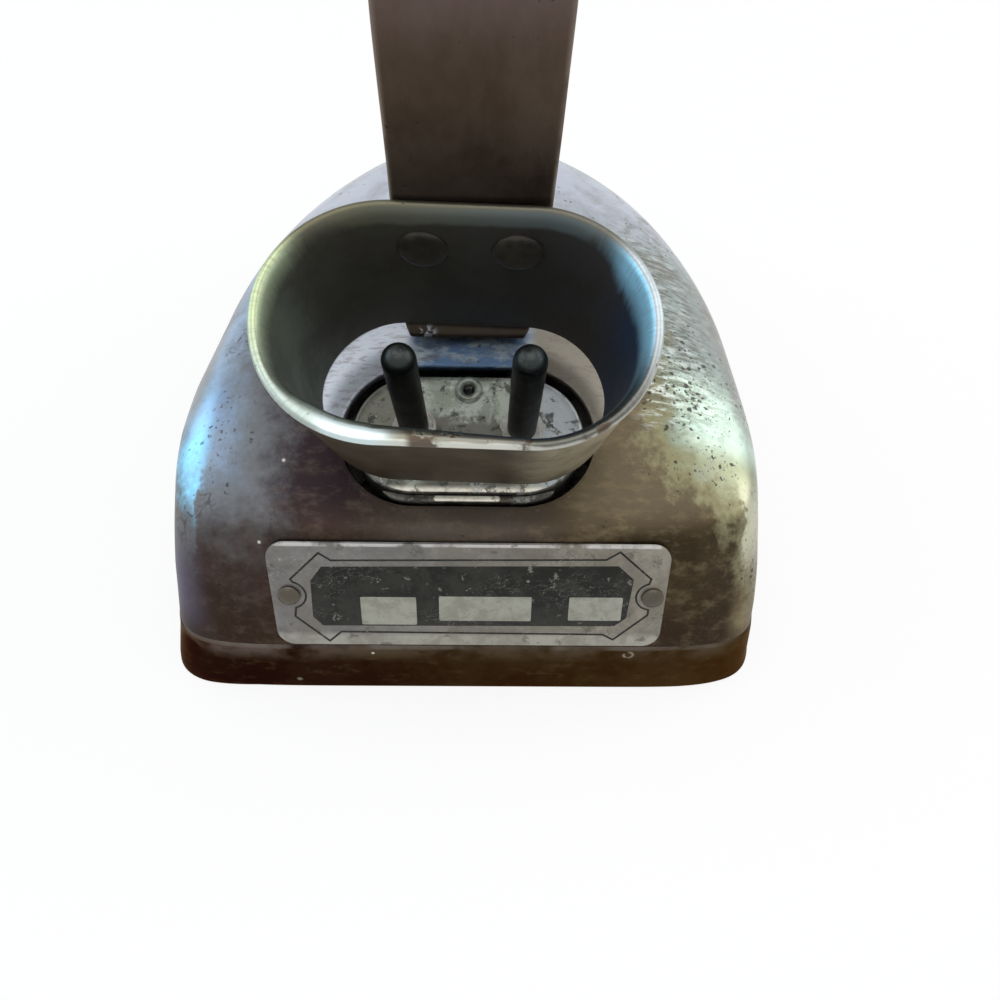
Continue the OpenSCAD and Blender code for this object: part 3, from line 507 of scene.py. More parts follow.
# ---------------------------------------------------------------- finishes
def worn_nickel():
    """Bright nickel on the shoulders and behind the collar, worn to brown round the collar and down the heel."""
    m = Finish("worn_nickel", Specular_IOR_Level=0.3)
    side = m.ramp(m.x, -30.0, 30.0)
    out = m.math("ABSOLUTE", m.x)
    sway, ragged, moss = m.noise(m.place, 60.0, 3.0), m.noise(m.place, 260.0, 5.0, 0.65), m.noise(m.place, 850.0, 3.0)
    wander = m.add_up((sway, 14.0), (ragged, m.between(side, 9.0, 21.0)), (moss, 5.0), (1.0, -14.0),
                      (side, -6.0))
    behind = m.add_up((m.y, 0.8), (1.0, 31.0))
    shoulder = m.math("MAXIMUM", m.math("SUBTRACT", out, m.between(side, 36.0, 31.0)), behind)
    heel = m.add_up((m.y, 1.0), (m.ramp(m.add_up((out, 1.0), (m.z, 0.1), (ragged, 4.0), (moss, 3.0), (side, -1.7),
                                              (1.0, -6.5)), 43.2, 46.8),
                     m.ramp(m.z, m.between(side, 10.0, 19.0), m.between(side, 14.0, 29.0), 0.0, 20.0)),
                    (m.math("MAXIMUM", m.math("SUBTRACT", m.x, 25.0), 0.0), 0.7), (m.ramp(m.x, 0.0, 25.0), -9.0), (1.0, 66.5))
    low = m.math("SUBTRACT", m.z, m.between(side, 31.5, 21.5))
    level = m.math("MINIMUM", m.math("MINIMUM", shoulder, heel), low)
    level = m.math("MULTIPLY", m.math("ADD", level, wander), m.between(side, 0.75, 0.8))
    stained, bright = m.ramp(level, m.between(side, -8.0, -4.0), 1.0), m.ramp(level, -0.5, 6.0)
    # Tarnish, from purple-brown on the left to olive-brown on the right
    cloud = m.group(PATCHES, Vector=m.place, Scale=70.0, Cover=0.45, Softness=0.3)["Mask"]
    left = m.blend(cloud, (0.030, 0.018, 0.013), (0.046, 0.029, 0.024))
    right = m.blend(cloud, (0.038, 0.026, 0.014), (0.058, 0.041, 0.021))
    brown = m.blend(side, left, right)
    middle = m.math("MULTIPLY", m.ramp(out, 22.0, 4.0), m.ramp(m.z, 28.0, 36.0))
    brown = m.blend(middle, brown, (0.072, 0.058, 0.047))
    olive = m.math("MULTIPLY", m.ramp(m.x, 10.0, 20.0), m.ramp(m.z, 33.5, 37.5))
    brown = m.blend(m.math("MULTIPLY", olive, 0.9), brown, (0.100, 0.080, 0.051))
    plum = m.math("MULTIPLY", m.ramp(m.x, -12.0, -20.0), m.ramp(m.z, 34.0, 38.0))
    brown = m.blend(m.math("MULTIPLY", plum, 0.9), brown, (0.021, 0.014, 0.017))
    brown = m.blend(m.ramp(m.z, 26.0, 14.0, 0.0, 0.8), brown, (0.032, 0.018, 0.010))
    mottle = m.ramp(m.noise(m.scaled(m.place, (1, 2.2, 1.6)), 230.0, 6.0, 0.68), 0.46, 0.70)
    brown = m.blend(m.math("MULTIPLY", mottle, m.between(side, 0.30, 0.48)), brown, m.blend(side, (0.118, 0.088, 0.068), (0.165, 0.130, 0.075)))
    ochre = m.math("MULTIPLY", m.ramp(m.x, 43.5, 48.0), m.math("MULTIPLY", m.ramp(m.z, 11.0, 17.0), m.ramp(m.y, -50.0, -66.0)))
    brown = m.blend(m.math("MULTIPLY", m.add_up((ragged, 1.6), (1.0, -0.2)), ochre), brown, (0.27, 0.21, 0.115))
    # A painted violet sheen low on the left flank, a reflection of cool window light
    painted_violet_sheen = m.math("MULTIPLY", m.ramp(m.x, -41.5, -49.0), m.math("MULTIPLY", m.ramp(m.z, 12.0, 20.0), m.ramp(m.y, -30.0, -58.0)))
    brown = m.blend(m.math("MULTIPLY", painted_violet_sheen, 0.6), brown, (0.115, 0.105, 0.170))
    # Nickel, bluish on the left (partly a painted reflection of cool window light), olive-grey on the right, lavender
    # at the back, with painted highlights and reflections set into it
    # The pale green-white on the right shoulder is a painted highlight of window light on olive-grey nickel
    olive_grey_and_painted_highlight = m.blend(m.ramp(m.y, -62.0, -56.0), (0.27, 0.29, 0.19), (0.47, 0.60, 0.52))
    olive_grey_and_painted_highlight = m.blend(m.ramp(m.x, 38.5, 31.0, 0.0, 0.9), olive_grey_and_painted_highlight, (0.115, 0.135, 0.072))
    # A painted cyan reflection of a blue window along the left edge near the heel
    painted_cyan_reflection = m.blend(m.ramp(m.y, -51.0, -60.0), (0.25, 0.42, 0.60), (0.22, 0.56, 0.78))
    front = m.blend(side, m.blend(m.ramp(m.x, -41.5, -45.0), (0.135, 0.185, 0.26), painted_cyan_reflection), olive_grey_and_painted_highlight)
    upper = m.blend(side, (0.31, 0.43, 0.59), (0.31, 0.36, 0.345))
    nickel = m.blend(m.ramp(m.y, -50.0, -38.0), front, upper)
    nickel = m.blend(m.ramp(m.y, -12.0, 8.0), nickel, (0.50, 0.54, 0.62))
    # The side walls are painted dimmer and greyer, a painted reflection of darker surroundings
    painted_dim_flank = m.math("MULTIPLY", m.ramp(out, 44.5, 47.5), m.ramp(m.y, -58.0, -46.0))
    nickel = m.blend(m.math("MULTIPLY", painted_dim_flank, 0.8), nickel, (0.27, 0.27, 0.25))
    corner = m.math("MULTIPLY", m.ramp(m.x, 43.0, 46.0), m.ramp(m.y, -60.0, -67.0))
    nickel = m.blend(corner, nickel, m.blend(m.ramp(m.z, 20.0, 31.0), (0.17, 0.13, 0.075), (0.50, 0.50, 0.36)))
    haze = m.group(PATCHES, Vector=m.place, Scale=110.0, Cover=0.4, Softness=0.35)["Mask"]
    nickel = m.blend(m.math("MULTIPLY", haze, 0.4), nickel, (0.19, 0.19, 0.18))
    half_worn = m.blend(side, (0.118, 0.122, 0.128), (0.19, 0.175, 0.10))
    colour = m.blend(bright, m.blend(stained, brown, half_worn), nickel)
    # Inside the collar: bluish nickel on the left, a darker painted bluish reflection of the strap in the middle, tan
    # on the right
    own_y = m.own_axes()[2]
    enclosed = m.ramp(m.off_oval(m.x, m.math("SUBTRACT", own_y, 2.5))[0], 15.0, 14.2)
    painted_blue_reflection = m.blend(m.ramp(m.noise(m.scaled(m.place, (1, 2, 2)), 150.0, 5.0, 0.65), 0.40, 0.60), (0.15, 0.25, 0.42), (0.50, 0.58, 0.62))
    within = m.blend(m.ramp(m.x, -11.0, -8.0), (0.40, 0.42, 0.46), painted_blue_reflection)
    within = m.blend(m.ramp(m.x, 8.0, 12.0), within, (0.205, 0.19, 0.158))
    rubbed = m.ramp(m.noise(m.scaled(m.place, (320, 1100, 1100), turn=(0, 0, 0.15)), 1.0, 5.0, 0.7, 0.5), 0.48, 0.66)
    within = m.blend(m.math("MULTIPLY", rubbed, 0.55), within, (0.14, 0.112, 0.100))
    colour = m.blend(enclosed, colour, within)
    # Short rubbed strokes across the right shoulder, dark between pale ones
    strokes = m.noise(m.scaled(m.place, (260, 950, 600), turn=(0, 0, 0.5)), 1.0, 4.0, 0.62, 0.4)
    upper_right = m.math("MULTIPLY", m.ramp(m.x, 26.0, 31.0), m.math("MULTIPLY", m.ramp(m.y, -62.0, -48.0),
                                                                   m.ramp(m.y, 8.0, -12.0)))
    upper_right = m.math("MULTIPLY", upper_right, m.ramp(m.x, 46.0, 37.0, 0.25, 1.0))
    colour = m.blend(m.math("MULTIPLY", m.ramp(strokes, 0.50, 0.40), m.math("MULTIPLY", upper_right, 0.75)), colour,
                     (0.125, 0.115, 0.085))
    colour = m.blend(m.math("MULTIPLY", m.ramp(strokes, 0.53, 0.62), m.math("MULTIPLY", upper_right, 0.7)), colour,
                     (0.62, 0.66, 0.63))
    dirty = m.group(PATCHES, Vector=m.place, Scale=150.0, Cover=0.38, Softness=0.2)["Mask"]
    dirty = m.math("MULTIPLY", dirty, m.math("MULTIPLY", m.ramp(m.x, 20.0, 34.0), m.ramp(m.y, -40.0, -20.0)))
    colour = m.blend(m.math("MULTIPLY", dirty, 0.6), colour, (0.17, 0.155, 0.125))
    cluster = m.noise(m.place, 60.0, 3.0, 0.5)
    near = m.math("SUBTRACT", 1.0, m.ramp(m.math("ABSOLUTE", m.math("SUBTRACT", level, 5.0)), 2.0, 14.0))
    crowd = m.add_up((m.ramp(cluster, 0.44, 0.62), 0.34), (near, 0.22), (m.ramp(m.z, 24.0, 34.0), 0.06), (side, 0.16), (1.0, -0.04))
    pits = m.group(PITS, Vector=m.place, Scale=900.0, Amount=crowd)
    fine = m.group(PITS, Vector=m.place, Scale=1900.0, Amount=crowd)
    spots = m.math("MAXIMUM", pits["Mask"], m.math("MULTIPLY", fine["Mask"], m.between(side, 0.35, 0.8)))
    colour = m.blend(m.math("MULTIPLY", spots, m.between(side, 0.62, 0.85)), colour, (0.045, 0.041, 0.035))
    # Thin dark wrinkles in the plating on the left shoulder
    curl = m.math("ABSOLUTE", m.math("SUBTRACT", m.noise(m.place, 190.0, 2.0, 0.5, 1.2), 0.5))
    worn_off = m.math("MULTIPLY", m.ramp(level, -5.0, -1.0), m.ramp(level, 7.0, 2.0))
    worn_off = m.math("MULTIPLY", worn_off, m.math("MULTIPLY", m.ramp(m.x, -22.0, -29.0), m.ramp(m.noise(m.place, 90.0, 2.0), 0.46, 0.54)))
    worn_off = m.math("MULTIPLY", worn_off, m.ramp(m.noise(m.place, 420.0, 2.0), 0.43, 0.50))
    colour = m.blend(m.math("MULTIPLY", m.math("MULTIPLY", m.ramp(curl, 0.040, 0.006), worn_off), 0.75), colour, (0.050, 0.044, 0.044))
    line = m.group(SCRATCHES, Vector=m.scaled(m.place, (900, 110, 500), turn=(0, 0, 0.5)), Amount=0.35)
    colour = m.blend(m.math("MULTIPLY", line["Mask"], 0.09), colour, (0.30, 0.29, 0.26))
    dust = m.group(SPECKS, Vector=m.place, Scale=160.0, Amount=0.05)["Mask"]
    for spot in ((-29.5, -63.0, 39.7), (-32.6, -74.3, 32.8)):
        dust = m.math("MAXIMUM", dust, m.blob(spot, 0.12, 0.40))
    colour = m.blend(dust, colour, (0.60, 0.58, 0.54))
    roughness = m.add_up((m.between(bright, 0.42, 0.29), 1.0), (spots, 0.25), (ragged, 0.08), (dust, 0.3))
    metallic = m.math("SUBTRACT", 0.95, m.add_up((spots, 0.3), (dust, 0.6)), clamp=True)
    height = m.add_up((pits["Height"], 0.8), (fine["Height"], 0.4), (m.noise(m.place, 900.0, 4.0), 0.25),
                      (line["Height"], 0.12))
    return m.surface(colour, roughness, metallic, height, 0.0001, 0.5)


def sole_iron():
    """Brown band round the edge with a painted highlight along its top, and a used, scratched face underneath."""
    m = Finish("sole_iron", Specular_IOR_Level=0.2, Specular_Tint=(0.55, 0.42, 0.30, 1.0))
    cloud = m.group(PATCHES, Vector=m.place, Scale=80.0, Cover=0.45, Softness=0.3)["Mask"]
    left = m.blend(cloud, (0.009, 0.005, 0.004), (0.016, 0.010, 0.007))
    right = m.blend(cloud, (0.030, 0.019, 0.008), (0.046, 0.030, 0.014))
    band = m.blend(m.ramp(m.x, -45.0, 45.0), left, right)
    upper = m.blend(m.ramp(m.x, -50.0, -10.0), (0.110, 0.088, 0.090), (0.075, 0.058, 0.042))
    band = m.blend(m.math("MULTIPLY", m.ramp(m.z, 8.0, 12.6), m.ramp(m.noise(m.place, 110.0, 5.0), 0.36, 0.58)), band, upper)
    smear = m.ramp(m.noise(m.scaled(m.place, (1, 1, 1.8)), 260.0, 6.0, 0.7), 0.52, 0.68)
    band = m.blend(m.math("MULTIPLY", smear, 0.3), band, (0.085, 0.064, 0.042))
    # A painted highlight line along the sole's top edge, broken up by noise
    rim = m.math("MULTIPLY", m.ramp(m.z, 12.3, 13.0), m.ramp(m.noise(m.place, 90.0, 3.0), 0.42, 0.58))
    band = m.blend(m.math("MULTIPLY", rim, 0.6), band, (0.15, 0.13, 0.11))
    chip = (28.0, -81.6, 11.3)
    ring = m.math("SUBTRACT", m.blob(chip, 0.85, 1.15), m.blob(chip, 0.45, 0.7), clamp=True)
    ring = m.math("MULTIPLY", ring, m.ramp(m.noise(m.place, 700.0, 3.0), 0.40, 0.52))
    band = m.blend(ring, band, (0.24, 0.21, 0.17))
    band = m.blend(m.blob((-16.2, -81.6, 11.5), 0.12, 0.4), band, (0.60, 0.57, 0.52))
    along = m.group(SCRATCHES, Vector=m.scaled(m.place, (1500, 90, 300)), Amount=0.8)
    across = m.group(SCRATCHES, Vector=m.scaled(m.place, (1100, 160, 300), turn=(0, 0, 0.35)), Amount=0.4)
    face = m.blend(cloud, (0.36, 0.34, 0.31), (0.24, 0.21, 0.17))
    face = m.blend(m.math("MULTIPLY", along["Mask"], 0.5), face, (0.12, 0.10, 0.08))
    face = m.blend(m.math("MULTIPLY", across["Mask"], 0.4), face, (0.50, 0.48, 0.45))
    under = m.math("SUBTRACT", 1.0, m.ramp(m.z, 0.15, 0.9))
    colour = m.blend(under, band, face)
    pits = m.group(PITS, Vector=m.place, Scale=480.0, Amount=m.ramp(m.noise(m.place, 45.0), 0.4, 0.7, 0.0, 0.45))
    colour = m.blend(m.math("MULTIPLY", pits["Mask"], 0.7), colour, (0.012, 0.009, 0.007))
    dust = m.group(SPECKS, Vector=m.place, Scale=220.0, Amount=0.02)["Mask"]
    colour = m.blend(m.math("MULTIPLY", dust, m.math("SUBTRACT", 1.0, under)), colour, (0.36, 0.33, 0.28))
    roughness = m.add_up((m.between(under, 0.40, 0.26), 1.0), (cloud, 0.08), (pits["Mask"], 0.2))
    height = m.add_up((pits["Height"], 1.0), (m.noise(m.place, 700.0), 0.4), (along["Height"], 0.2))
    return m.surface(colour, roughness, m.between(under, 0.95, 0.9), height, 0.00015, 0.5)


def rusted_strap():
    """Brown rusted strap, greyer toward the grip, with rubbed edges."""
    m = Finish("rusted_strap", Specular_IOR_Level=0.3)
    cloud = m.group(PATCHES, Vector=m.scaled(m.place, (1, 1, 0.6)), Scale=80.0, Cover=0.5, Softness=0.38)["Mask"]
    low = m.blend(cloud, (0.037, 0.028, 0.022), (0.056, 0.043, 0.033))
    half = m.blend(cloud, (0.076, 0.052, 0.036), (0.105, 0.076, 0.056))
    high = m.blend(cloud, (0.130, 0.092, 0.092), (0.170, 0.128, 0.128))
    colour = m.blend(m.ramp(m.z, 74.0, 92.0), low, half)
    colour = m.blend(m.ramp(m.z, 94.0, 112.0), colour, high)
    edge = m.add("ShaderNodeAttribute", attribute_name="edge").outputs["Fac"]
    rubbed = m.math("MULTIPLY", edge, m.ramp(m.noise(m.place, 160.0, 5.0), 0.30, 0.55))
    colour = m.blend(m.math("MULTIPLY", rubbed, 0.75), colour, (0.17, 0.135, 0.105))
    pits = m.group(PITS, Vector=m.place, Scale=800.0, Amount=m.ramp(m.noise(m.place, 70.0), 0.4, 0.65, 0.05, 0.45))
    colour = m.blend(m.math("MULTIPLY", pits["Mask"], 0.6), colour, (0.018, 0.012, 0.009))
    line = m.group(SCRATCHES, Vector=m.scaled(m.place, (1400, 300, 120)), Amount=0.35)
    colour = m.blend(m.math("MULTIPLY", line["Mask"], 0.2), colour, (0.14, 0.11, 0.09))
    flakes = m.math("MULTIPLY", m.blob((-7.0, -44.2, 50.5), 0.9, 2.6), m.ramp(m.noise(m.place, 900.0, 3.0), 0.47, 0.58))
    colour = m.blend(m.math("MULTIPLY", flakes, 0.9), colour, (0.36, 0.40, 0.44))
    roughness = m.add_up((cloud, 0.12), (rubbed, -0.12), (pits["Mask"], 0.2), (m.noise(m.place, 500.0), 0.18), (1.0, 0.38))
    height = m.add_up((pits["Height"], 0.8), (m.noise(m.place, 600.0), 0.5), (line["Height"], 0.1))
    return m.surface(colour, roughness, m.math("SUBTRACT", 0.95, m.math("MULTIPLY", pits["Mask"], 0.3)), height,
                     0.00015, 0.45)


def collar_nickel():
    """Dark inside and out, bright round the mouth, partly rubbed metal and partly painted reflections and highlights of
    the window light, with a painted sheen on the inner wall and scratches across the rim.
    """
    m = Finish("collar_nickel", Specular_IOR_Level=0.3)
    own, x, y, w = m.own_axes()
    top = COLLAR_LIFT + COLLAR_LENGTH
    inside = m.add("ShaderNodeAttribute", attribute_name="inside").outputs["Fac"]
    side = m.ramp(x, -18.0, 18.0)
    ends = m.ramp(m.math("ABSOLUTE", x), 13.0, 22.0)
    front, back = m.ramp(y, 6.0, -8.0), m.ramp(y, 12.0, 17.0)
    wave = m.add_up((m.noise(m.place, 130.0, 5.0, 0.6), 1.6), (1.0, -0.8))
    # Strokes across the rim: the vector runs along the oval, so each stroke points outward
    reach, along, dx, dy = m.off_oval(x, y)
    round_oval = m.add("ShaderNodeCombineXYZ", {
        0: m.math("ADD", along, m.math("DIVIDE", m.math("MULTIPLY", dx, 16.0), reach)),
        1: m.math("DIVIDE", m.math("MULTIPLY", dy, 16.0), reach), 2: m.math("MULTIPLY", w, 0.10)}).outputs[0]
    hatch = m.noise(round_oval, 2.0, 4.0, 0.75)
    strokes = m.ramp(hatch, 0.42, 0.66)
    depth_in = m.between(back, m.between(ends, 1.6, m.between(side, 4.2, 7.4)), 3.0)
    band = m.add_up((w, 1.0), (wave, 1.0), (m.math("MULTIPLY", m.math("SUBTRACT", hatch, 0.5), ends), 4.0), (1.0, -top))
    band = m.math("ADD", band, m.between(inside, 2.6, depth_in))
    mouth = m.ramp(band, 0.0, m.between(m.math("MULTIPLY", inside, ends), 0.9, 5.0))
    cloud = m.group(PATCHES, Vector=m.place, Scale=120.0, Cover=0.5, Softness=0.3)["Mask"]
    # Inner wall: a painted sheen, olive-grey and lighter on the left where light falls, navy and darker on the right,
    # brown toward the back
    dark = m.blend(side, (0.150, 0.175, 0.140), (0.022, 0.046, 0.095))
    dark = m.blend(m.math("MULTIPLY", m.ramp(y, 6.0, 15.0), 0.85), dark, (0.058, 0.050, 0.040))
    dark = m.blend(m.math("MULTIPLY", cloud, 0.4), dark, (0.034, 0.027, 0.019))
    outer = m.blend(cloud, (0.066, 0.050, 0.030), (0.100, 0.078, 0.050))
    outer = m.blend(m.ramp(x, 4.0, 13.0), outer, m.blend(cloud, (0.30, 0.265, 0.19), (0.45, 0.40, 0.285)))
    wall = m.blend(inside, outer, dark)
    # The rim's tints are painted reflections of the window light: yellow-green on the left, blue on the right
    painted_rim_reflection_in = m.blend(side, (0.46, 0.56, 0.37), (0.36, 0.76, 1.0))
    painted_rim_reflection_out = m.blend(side, (0.40, 0.46, 0.28), (0.40, 0.45, 0.47))
    rim = m.blend(inside, painted_rim_reflection_out, painted_rim_reflection_in)
    # The front lip: a painted white highlight on the left, then a brown top with a painted pale highlight line below it
    # that thins out on the right
    over = m.add("ShaderNodeAttribute", attribute_name="over").outputs["Fac"]
    crest = m.ramp(m.add_up((over, 1.0), (wave, 0.6)), m.between(m.ramp(x, 4.0, 12.0), 0.2, 0.5), m.between(m.ramp(x, 4.0, 12.0), 0.55, 0.9))
    lip_top = m.blend(m.ramp(x, 3.0, 10.0), (0.155, 0.140, 0.115), (0.080, 0.073, 0.054))
    lit = m.blend(crest, lip_top, m.blend(m.ramp(x, 4.0, 12.0), (0.60, 0.60, 0.54), (0.42, 0.41, 0.36)))
    lit = m.blend(m.ramp(m.add_up((x, 1.0), (wave, 3.0)), -7.0, -11.0), lit,
                  m.blend(m.ramp(x, -16.5, -19.0), (0.60, 0.70, 0.72), (0.37, 0.43, 0.41)))
    rim = m.blend(m.math("MULTIPLY", front, 0.9), rim, lit)
    rim = m.blend(m.math("MULTIPLY", back, 0.9), rim, m.blend(inside, (0.110, 0.095, 0.065), (0.090, 0.076, 0.054)))
    marks = m.math("MULTIPLY", m.math("MULTIPLY", strokes, ends), m.between(inside, 0.25, 0.3))
    rim = m.blend(marks, rim, m.blend(side, (0.13, 0.12, 0.07), (0.24, 0.25, 0.26)))
    chips = m.group(PATCHES, Vector=m.place, Scale=210.0, Cover=0.20, Softness=0.05)["Mask"]
    for spot in ((-4.7, 2.6, 1.9), (9.0, 3.0, 2.0), (16.6, 2.2, 1.5)):
        place, wide, tall = spot
        near = m.math("ABSOLUTE", m.math("SUBTRACT", x, place))
        piece = m.math("MULTIPLY", m.ramp(near, wide, wide * 0.5), m.ramp(w, top - tall - 0.6, top - tall + 0.2))
        chips = m.math("MAXIMUM", m.math("MULTIPLY", chips, m.ramp(m.math("ABSOLUTE", x), 14.0, 10.0)),
                       m.math("MULTIPLY", piece, m.ramp(m.noise(m.place, 420.0, 4.0), 0.40, 0.52)))
    chips = m.math("MULTIPLY", chips, front)
    rim = m.blend(m.math("MULTIPLY", chips, 0.9), rim, (0.075, 0.050, 0.032))
    colour = m.blend(mouth, wall, rim)
    bright = m.math("MULTIPLY", mouth, m.math("SUBTRACT", 1.0, m.math("MAXIMUM", chips, back)))
    pits = m.group(PITS, Vector=m.place, Scale=1000.0, Amount=m.ramp(m.noise(m.place, 90.0), 0.45, 0.7, 0.0, 0.5))
    colour = m.blend(m.math("MULTIPLY", pits["Mask"], 0.6), colour, (0.03, 0.027, 0.02))
    roughness = m.add_up((m.between(bright, 0.42, 0.30), 1.0), (marks, 0.15), (m.noise(m.place, 400.0), 0.08))
    height = m.add_up((pits["Height"], 0.8), (m.noise(m.place, 800.0), 0.3), (marks, -0.5), (chips, -1.0))
    metallic = m.between(m.math("MULTIPLY", inside, m.ramp(y, -6.0, 2.0)), 0.95, 0.35)
    return m.surface(colour, roughness, metallic, height, 0.00012, 0.5)


def terminal_tin():
    """Dirty pale plate inside the mouth, with stains round its fittings, a painted highlight along its front and
    painted shade in the eyelet's bore.
    """
    m = Finish("terminal_tin", Specular_IOR_Level=0.4)
    own, x, y, w = m.own_axes()
    cloud = m.group(PATCHES, Vector=m.place, Scale=260.0, Cover=0.5, Softness=0.2)["Mask"]
    colour = m.blend(cloud, (0.23, 0.25, 0.205), (0.40, 0.43, 0.37))
    colour = m.blend(m.ramp(m.add_up((x, 1.0), (cloud, 2.0)), -6.5, -10.0, 0.0, 0.75), colour, (0.120, 0.110, 0.085))
    brown = m.math("MULTIPLY", m.ramp(m.add_up((y, 1.0), (cloud, 1.2)), 4.4, 2.4), m.ramp(m.math("ABSOLUTE", x), 9.5, 6.0))
    colour = m.blend(m.math("MULTIPLY", brown, 0.85), colour, (0.085, 0.080, 0.063))
    colour = m.blend(m.ramp(x, 10.5, 13.5, 0.0, 0.6), colour, (0.42, 0.44, 0.50))
    # A painted near-white highlight along the front edge of the cap
    colour = m.blend(m.ramp(y, -8.6, -9.6), colour, m.blend(cloud, (0.80, 0.75, 0.62), (1.0, 0.95, 0.82)))
    ledge = m.ramp(w, -0.3, -0.4)
    colour = m.blend(ledge, colour, m.blend(cloud, (0.085, 0.077, 0.062), (0.175, 0.165, 0.145)))
    stain = m.group(PATCHES, Vector=m.place, Scale=420.0, Cover=0.3, Softness=0.08)["Mask"]
    colour = m.blend(m.math("MULTIPLY", stain, 0.75), colour, (0.055, 0.055, 0.045))
    flake = m.group(PATCHES, Vector=m.scaled(m.place, (1, 1, 1), location=(0.3, 0.1, 0)), Scale=340.0,
                    Cover=0.24, Softness=0.05)["Mask"]
    colour = m.blend(m.math("MULTIPLY", flake, 0.6), colour, (0.42, 0.43, 0.40))
    pits = m.group(PITS, Vector=m.place, Scale=900.0, Amount=0.35)
    colour = m.blend(m.math("MULTIPLY", pits["Mask"], 0.7), colour, (0.05, 0.05, 0.04))
    # Painted shade at the bottom of the eyelet's bore
    bore = m.blob((0.0, *BORE_BOTTOM), 1.15, 1.3)
    colour = m.blend(bore, colour, (0.012, 0.012, 0.011))
    roughness = m.add_up((cloud, 0.1), (stain, 0.2), (1.0, 0.42))
    height = m.add_up((pits["Height"], 0.8), (flake, 0.7), (m.noise(m.place, 900.0), 0.6))
    return m.surface(colour, roughness, m.between(stain, 0.5, 0.15), height, 0.00015, 0.6)


def contact_pin():
    """Dark oxidised contact pins, a little rubbed at the tips."""
    m = Finish("contact_pin", Specular_IOR_Level=0.3)
    cloud = m.group(PATCHES, Vector=m.place, Scale=300.0, Cover=0.5, Softness=0.3)["Mask"]
    own, _x, _y, w = m.own_axes()
    colour = m.blend(cloud, (0.009, 0.009, 0.011), (0.022, 0.023, 0.024))
    tip = m.ramp(w, PIN_STRAIGHT - 1.0, PIN_STRAIGHT + 2.2)
    colour = m.blend(m.math("MULTIPLY", tip, 0.8), colour, (0.042, 0.048, 0.046))
    ring = m.group(SCRATCHES, Vector=m.scaled(own, (120, 120, 1800)), Amount=0.6)
    colour = m.blend(m.math("MULTIPLY", ring["Mask"], 0.35), colour, (0.07, 0.07, 0.065))
    foot = m.math("SUBTRACT", 1.0, m.ramp(w, 0.5, 4.5))
    colour = m.blend(m.math("MULTIPLY", foot, m.math("MULTIPLY", cloud, 0.6)), colour, (0.16, 0.17, 0.15))
    roughness = m.add_up((cloud, 0.12), (tip, -0.08), (1.0, 0.38))
    height = m.add_up((ring["Height"], 0.6), (m.noise(m.place, 1100.0), 0.5))
    return m.surface(colour, roughness, 0.95, height, 0.0001, 0.5)


def rivet_steel():
    """Dark rivet heads and drive pins."""
    m = Finish("rivet_steel", Specular_IOR_Level=0.3)
    cloud = m.group(PATCHES, Vector=m.place, Scale=350.0, Cover=0.5, Softness=0.3)["Mask"]
    colour = m.blend(cloud, (0.036, 0.032, 0.026), (0.058, 0.049, 0.038))
    low = m.ramp(m.z, 34.0, 44.0)
    colour = m.blend(low, m.blend(0.6, colour, (0.130, 0.115, 0.090)), colour)
    pits = m.group(PITS, Vector=m.place, Scale=1200.0, Amount=0.4)
    colour = m.blend(m.math("MULTIPLY", pits["Mask"], 0.6), colour, (0.015, 0.012, 0.01))
    roughness = m.add_up((cloud, 0.12), (low, 0.08), (1.0, 0.24))
    height = m.add_up((pits["Height"], 0.8), (m.noise(m.place, 1300.0), 0.5))
    return m.surface(colour, roughness, m.between(low, 0.9, 0.3), height, 0.00012, 0.5)


def plate_metal():
    """Pale etched metal of the heel plate, dirty and scratched, with a painted highlight on its top edge."""
    m = Finish("plate_metal")
    cloud = m.group(PATCHES, Vector=m.place, Scale=110.0, Cover=0.5, Softness=0.3)["Mask"]
    cool = m.blend(cloud, (0.145, 0.140, 0.135), (0.205, 0.195, 0.185))
    warm = m.blend(cloud, (0.185, 0.170, 0.138), (0.270, 0.250, 0.205))
    colour = m.blend(m.ramp(m.x, -22.0, 22.0), cool, warm)
    colour = m.blend(m.ramp(m.z, 17.6, 16.2, 0.0, 0.8), colour, (0.38, 0.37, 0.315))
    grime = m.group(PATCHES, Vector=m.place, Scale=170.0, Cover=0.42, Softness=0.25)["Mask"]
    colour = m.blend(m.math("MULTIPLY", grime, 0.45), colour, (0.125, 0.108, 0.085))
    # A painted highlight along the plate's top edge
    painted_edge_highlight = m.math("MULTIPLY", m.ramp(m.z, 33.35, 33.6), m.ramp(m.noise(m.place, 200.0, 4.0), 0.36, 0.5))
    colour = m.blend(m.math("MULTIPLY", painted_edge_highlight, 0.8), colour, (0.62, 0.60, 0.58))
    stain = m.group(PATCHES, Vector=m.place, Scale=330.0, Cover=0.22, Softness=0.06)["Mask"]
    colour = m.blend(m.math("MULTIPLY", stain, 0.55), colour, (0.065, 0.055, 0.042))
    line = m.group(SCRATCHES, Vector=m.scaled(m.place, (500, 300, 900), turn=(0, 0.5, 0)), Amount=0.4)
    colour = m.blend(m.math("MULTIPLY", line["Mask"], 0.6), colour, (0.40, 0.39, 0.36))
    dust = m.group(SPECKS, Vector=m.place, Scale=420.0, Amount=0.10)["Mask"]
    colour = m.blend(dust, colour, (0.48, 0.47, 0.44))
    roughness = m.add_up((cloud, 0.1), (stain, 0.2), (1.0, 0.38))
    height = m.add_up((m.noise(m.place, 900.0), 0.6), (line["Height"], 0.4), (stain, -0.5))
    return m.surface(colour, roughness, m.between(stain, 0.6, 0.2), height, 0.0001, 0.5)


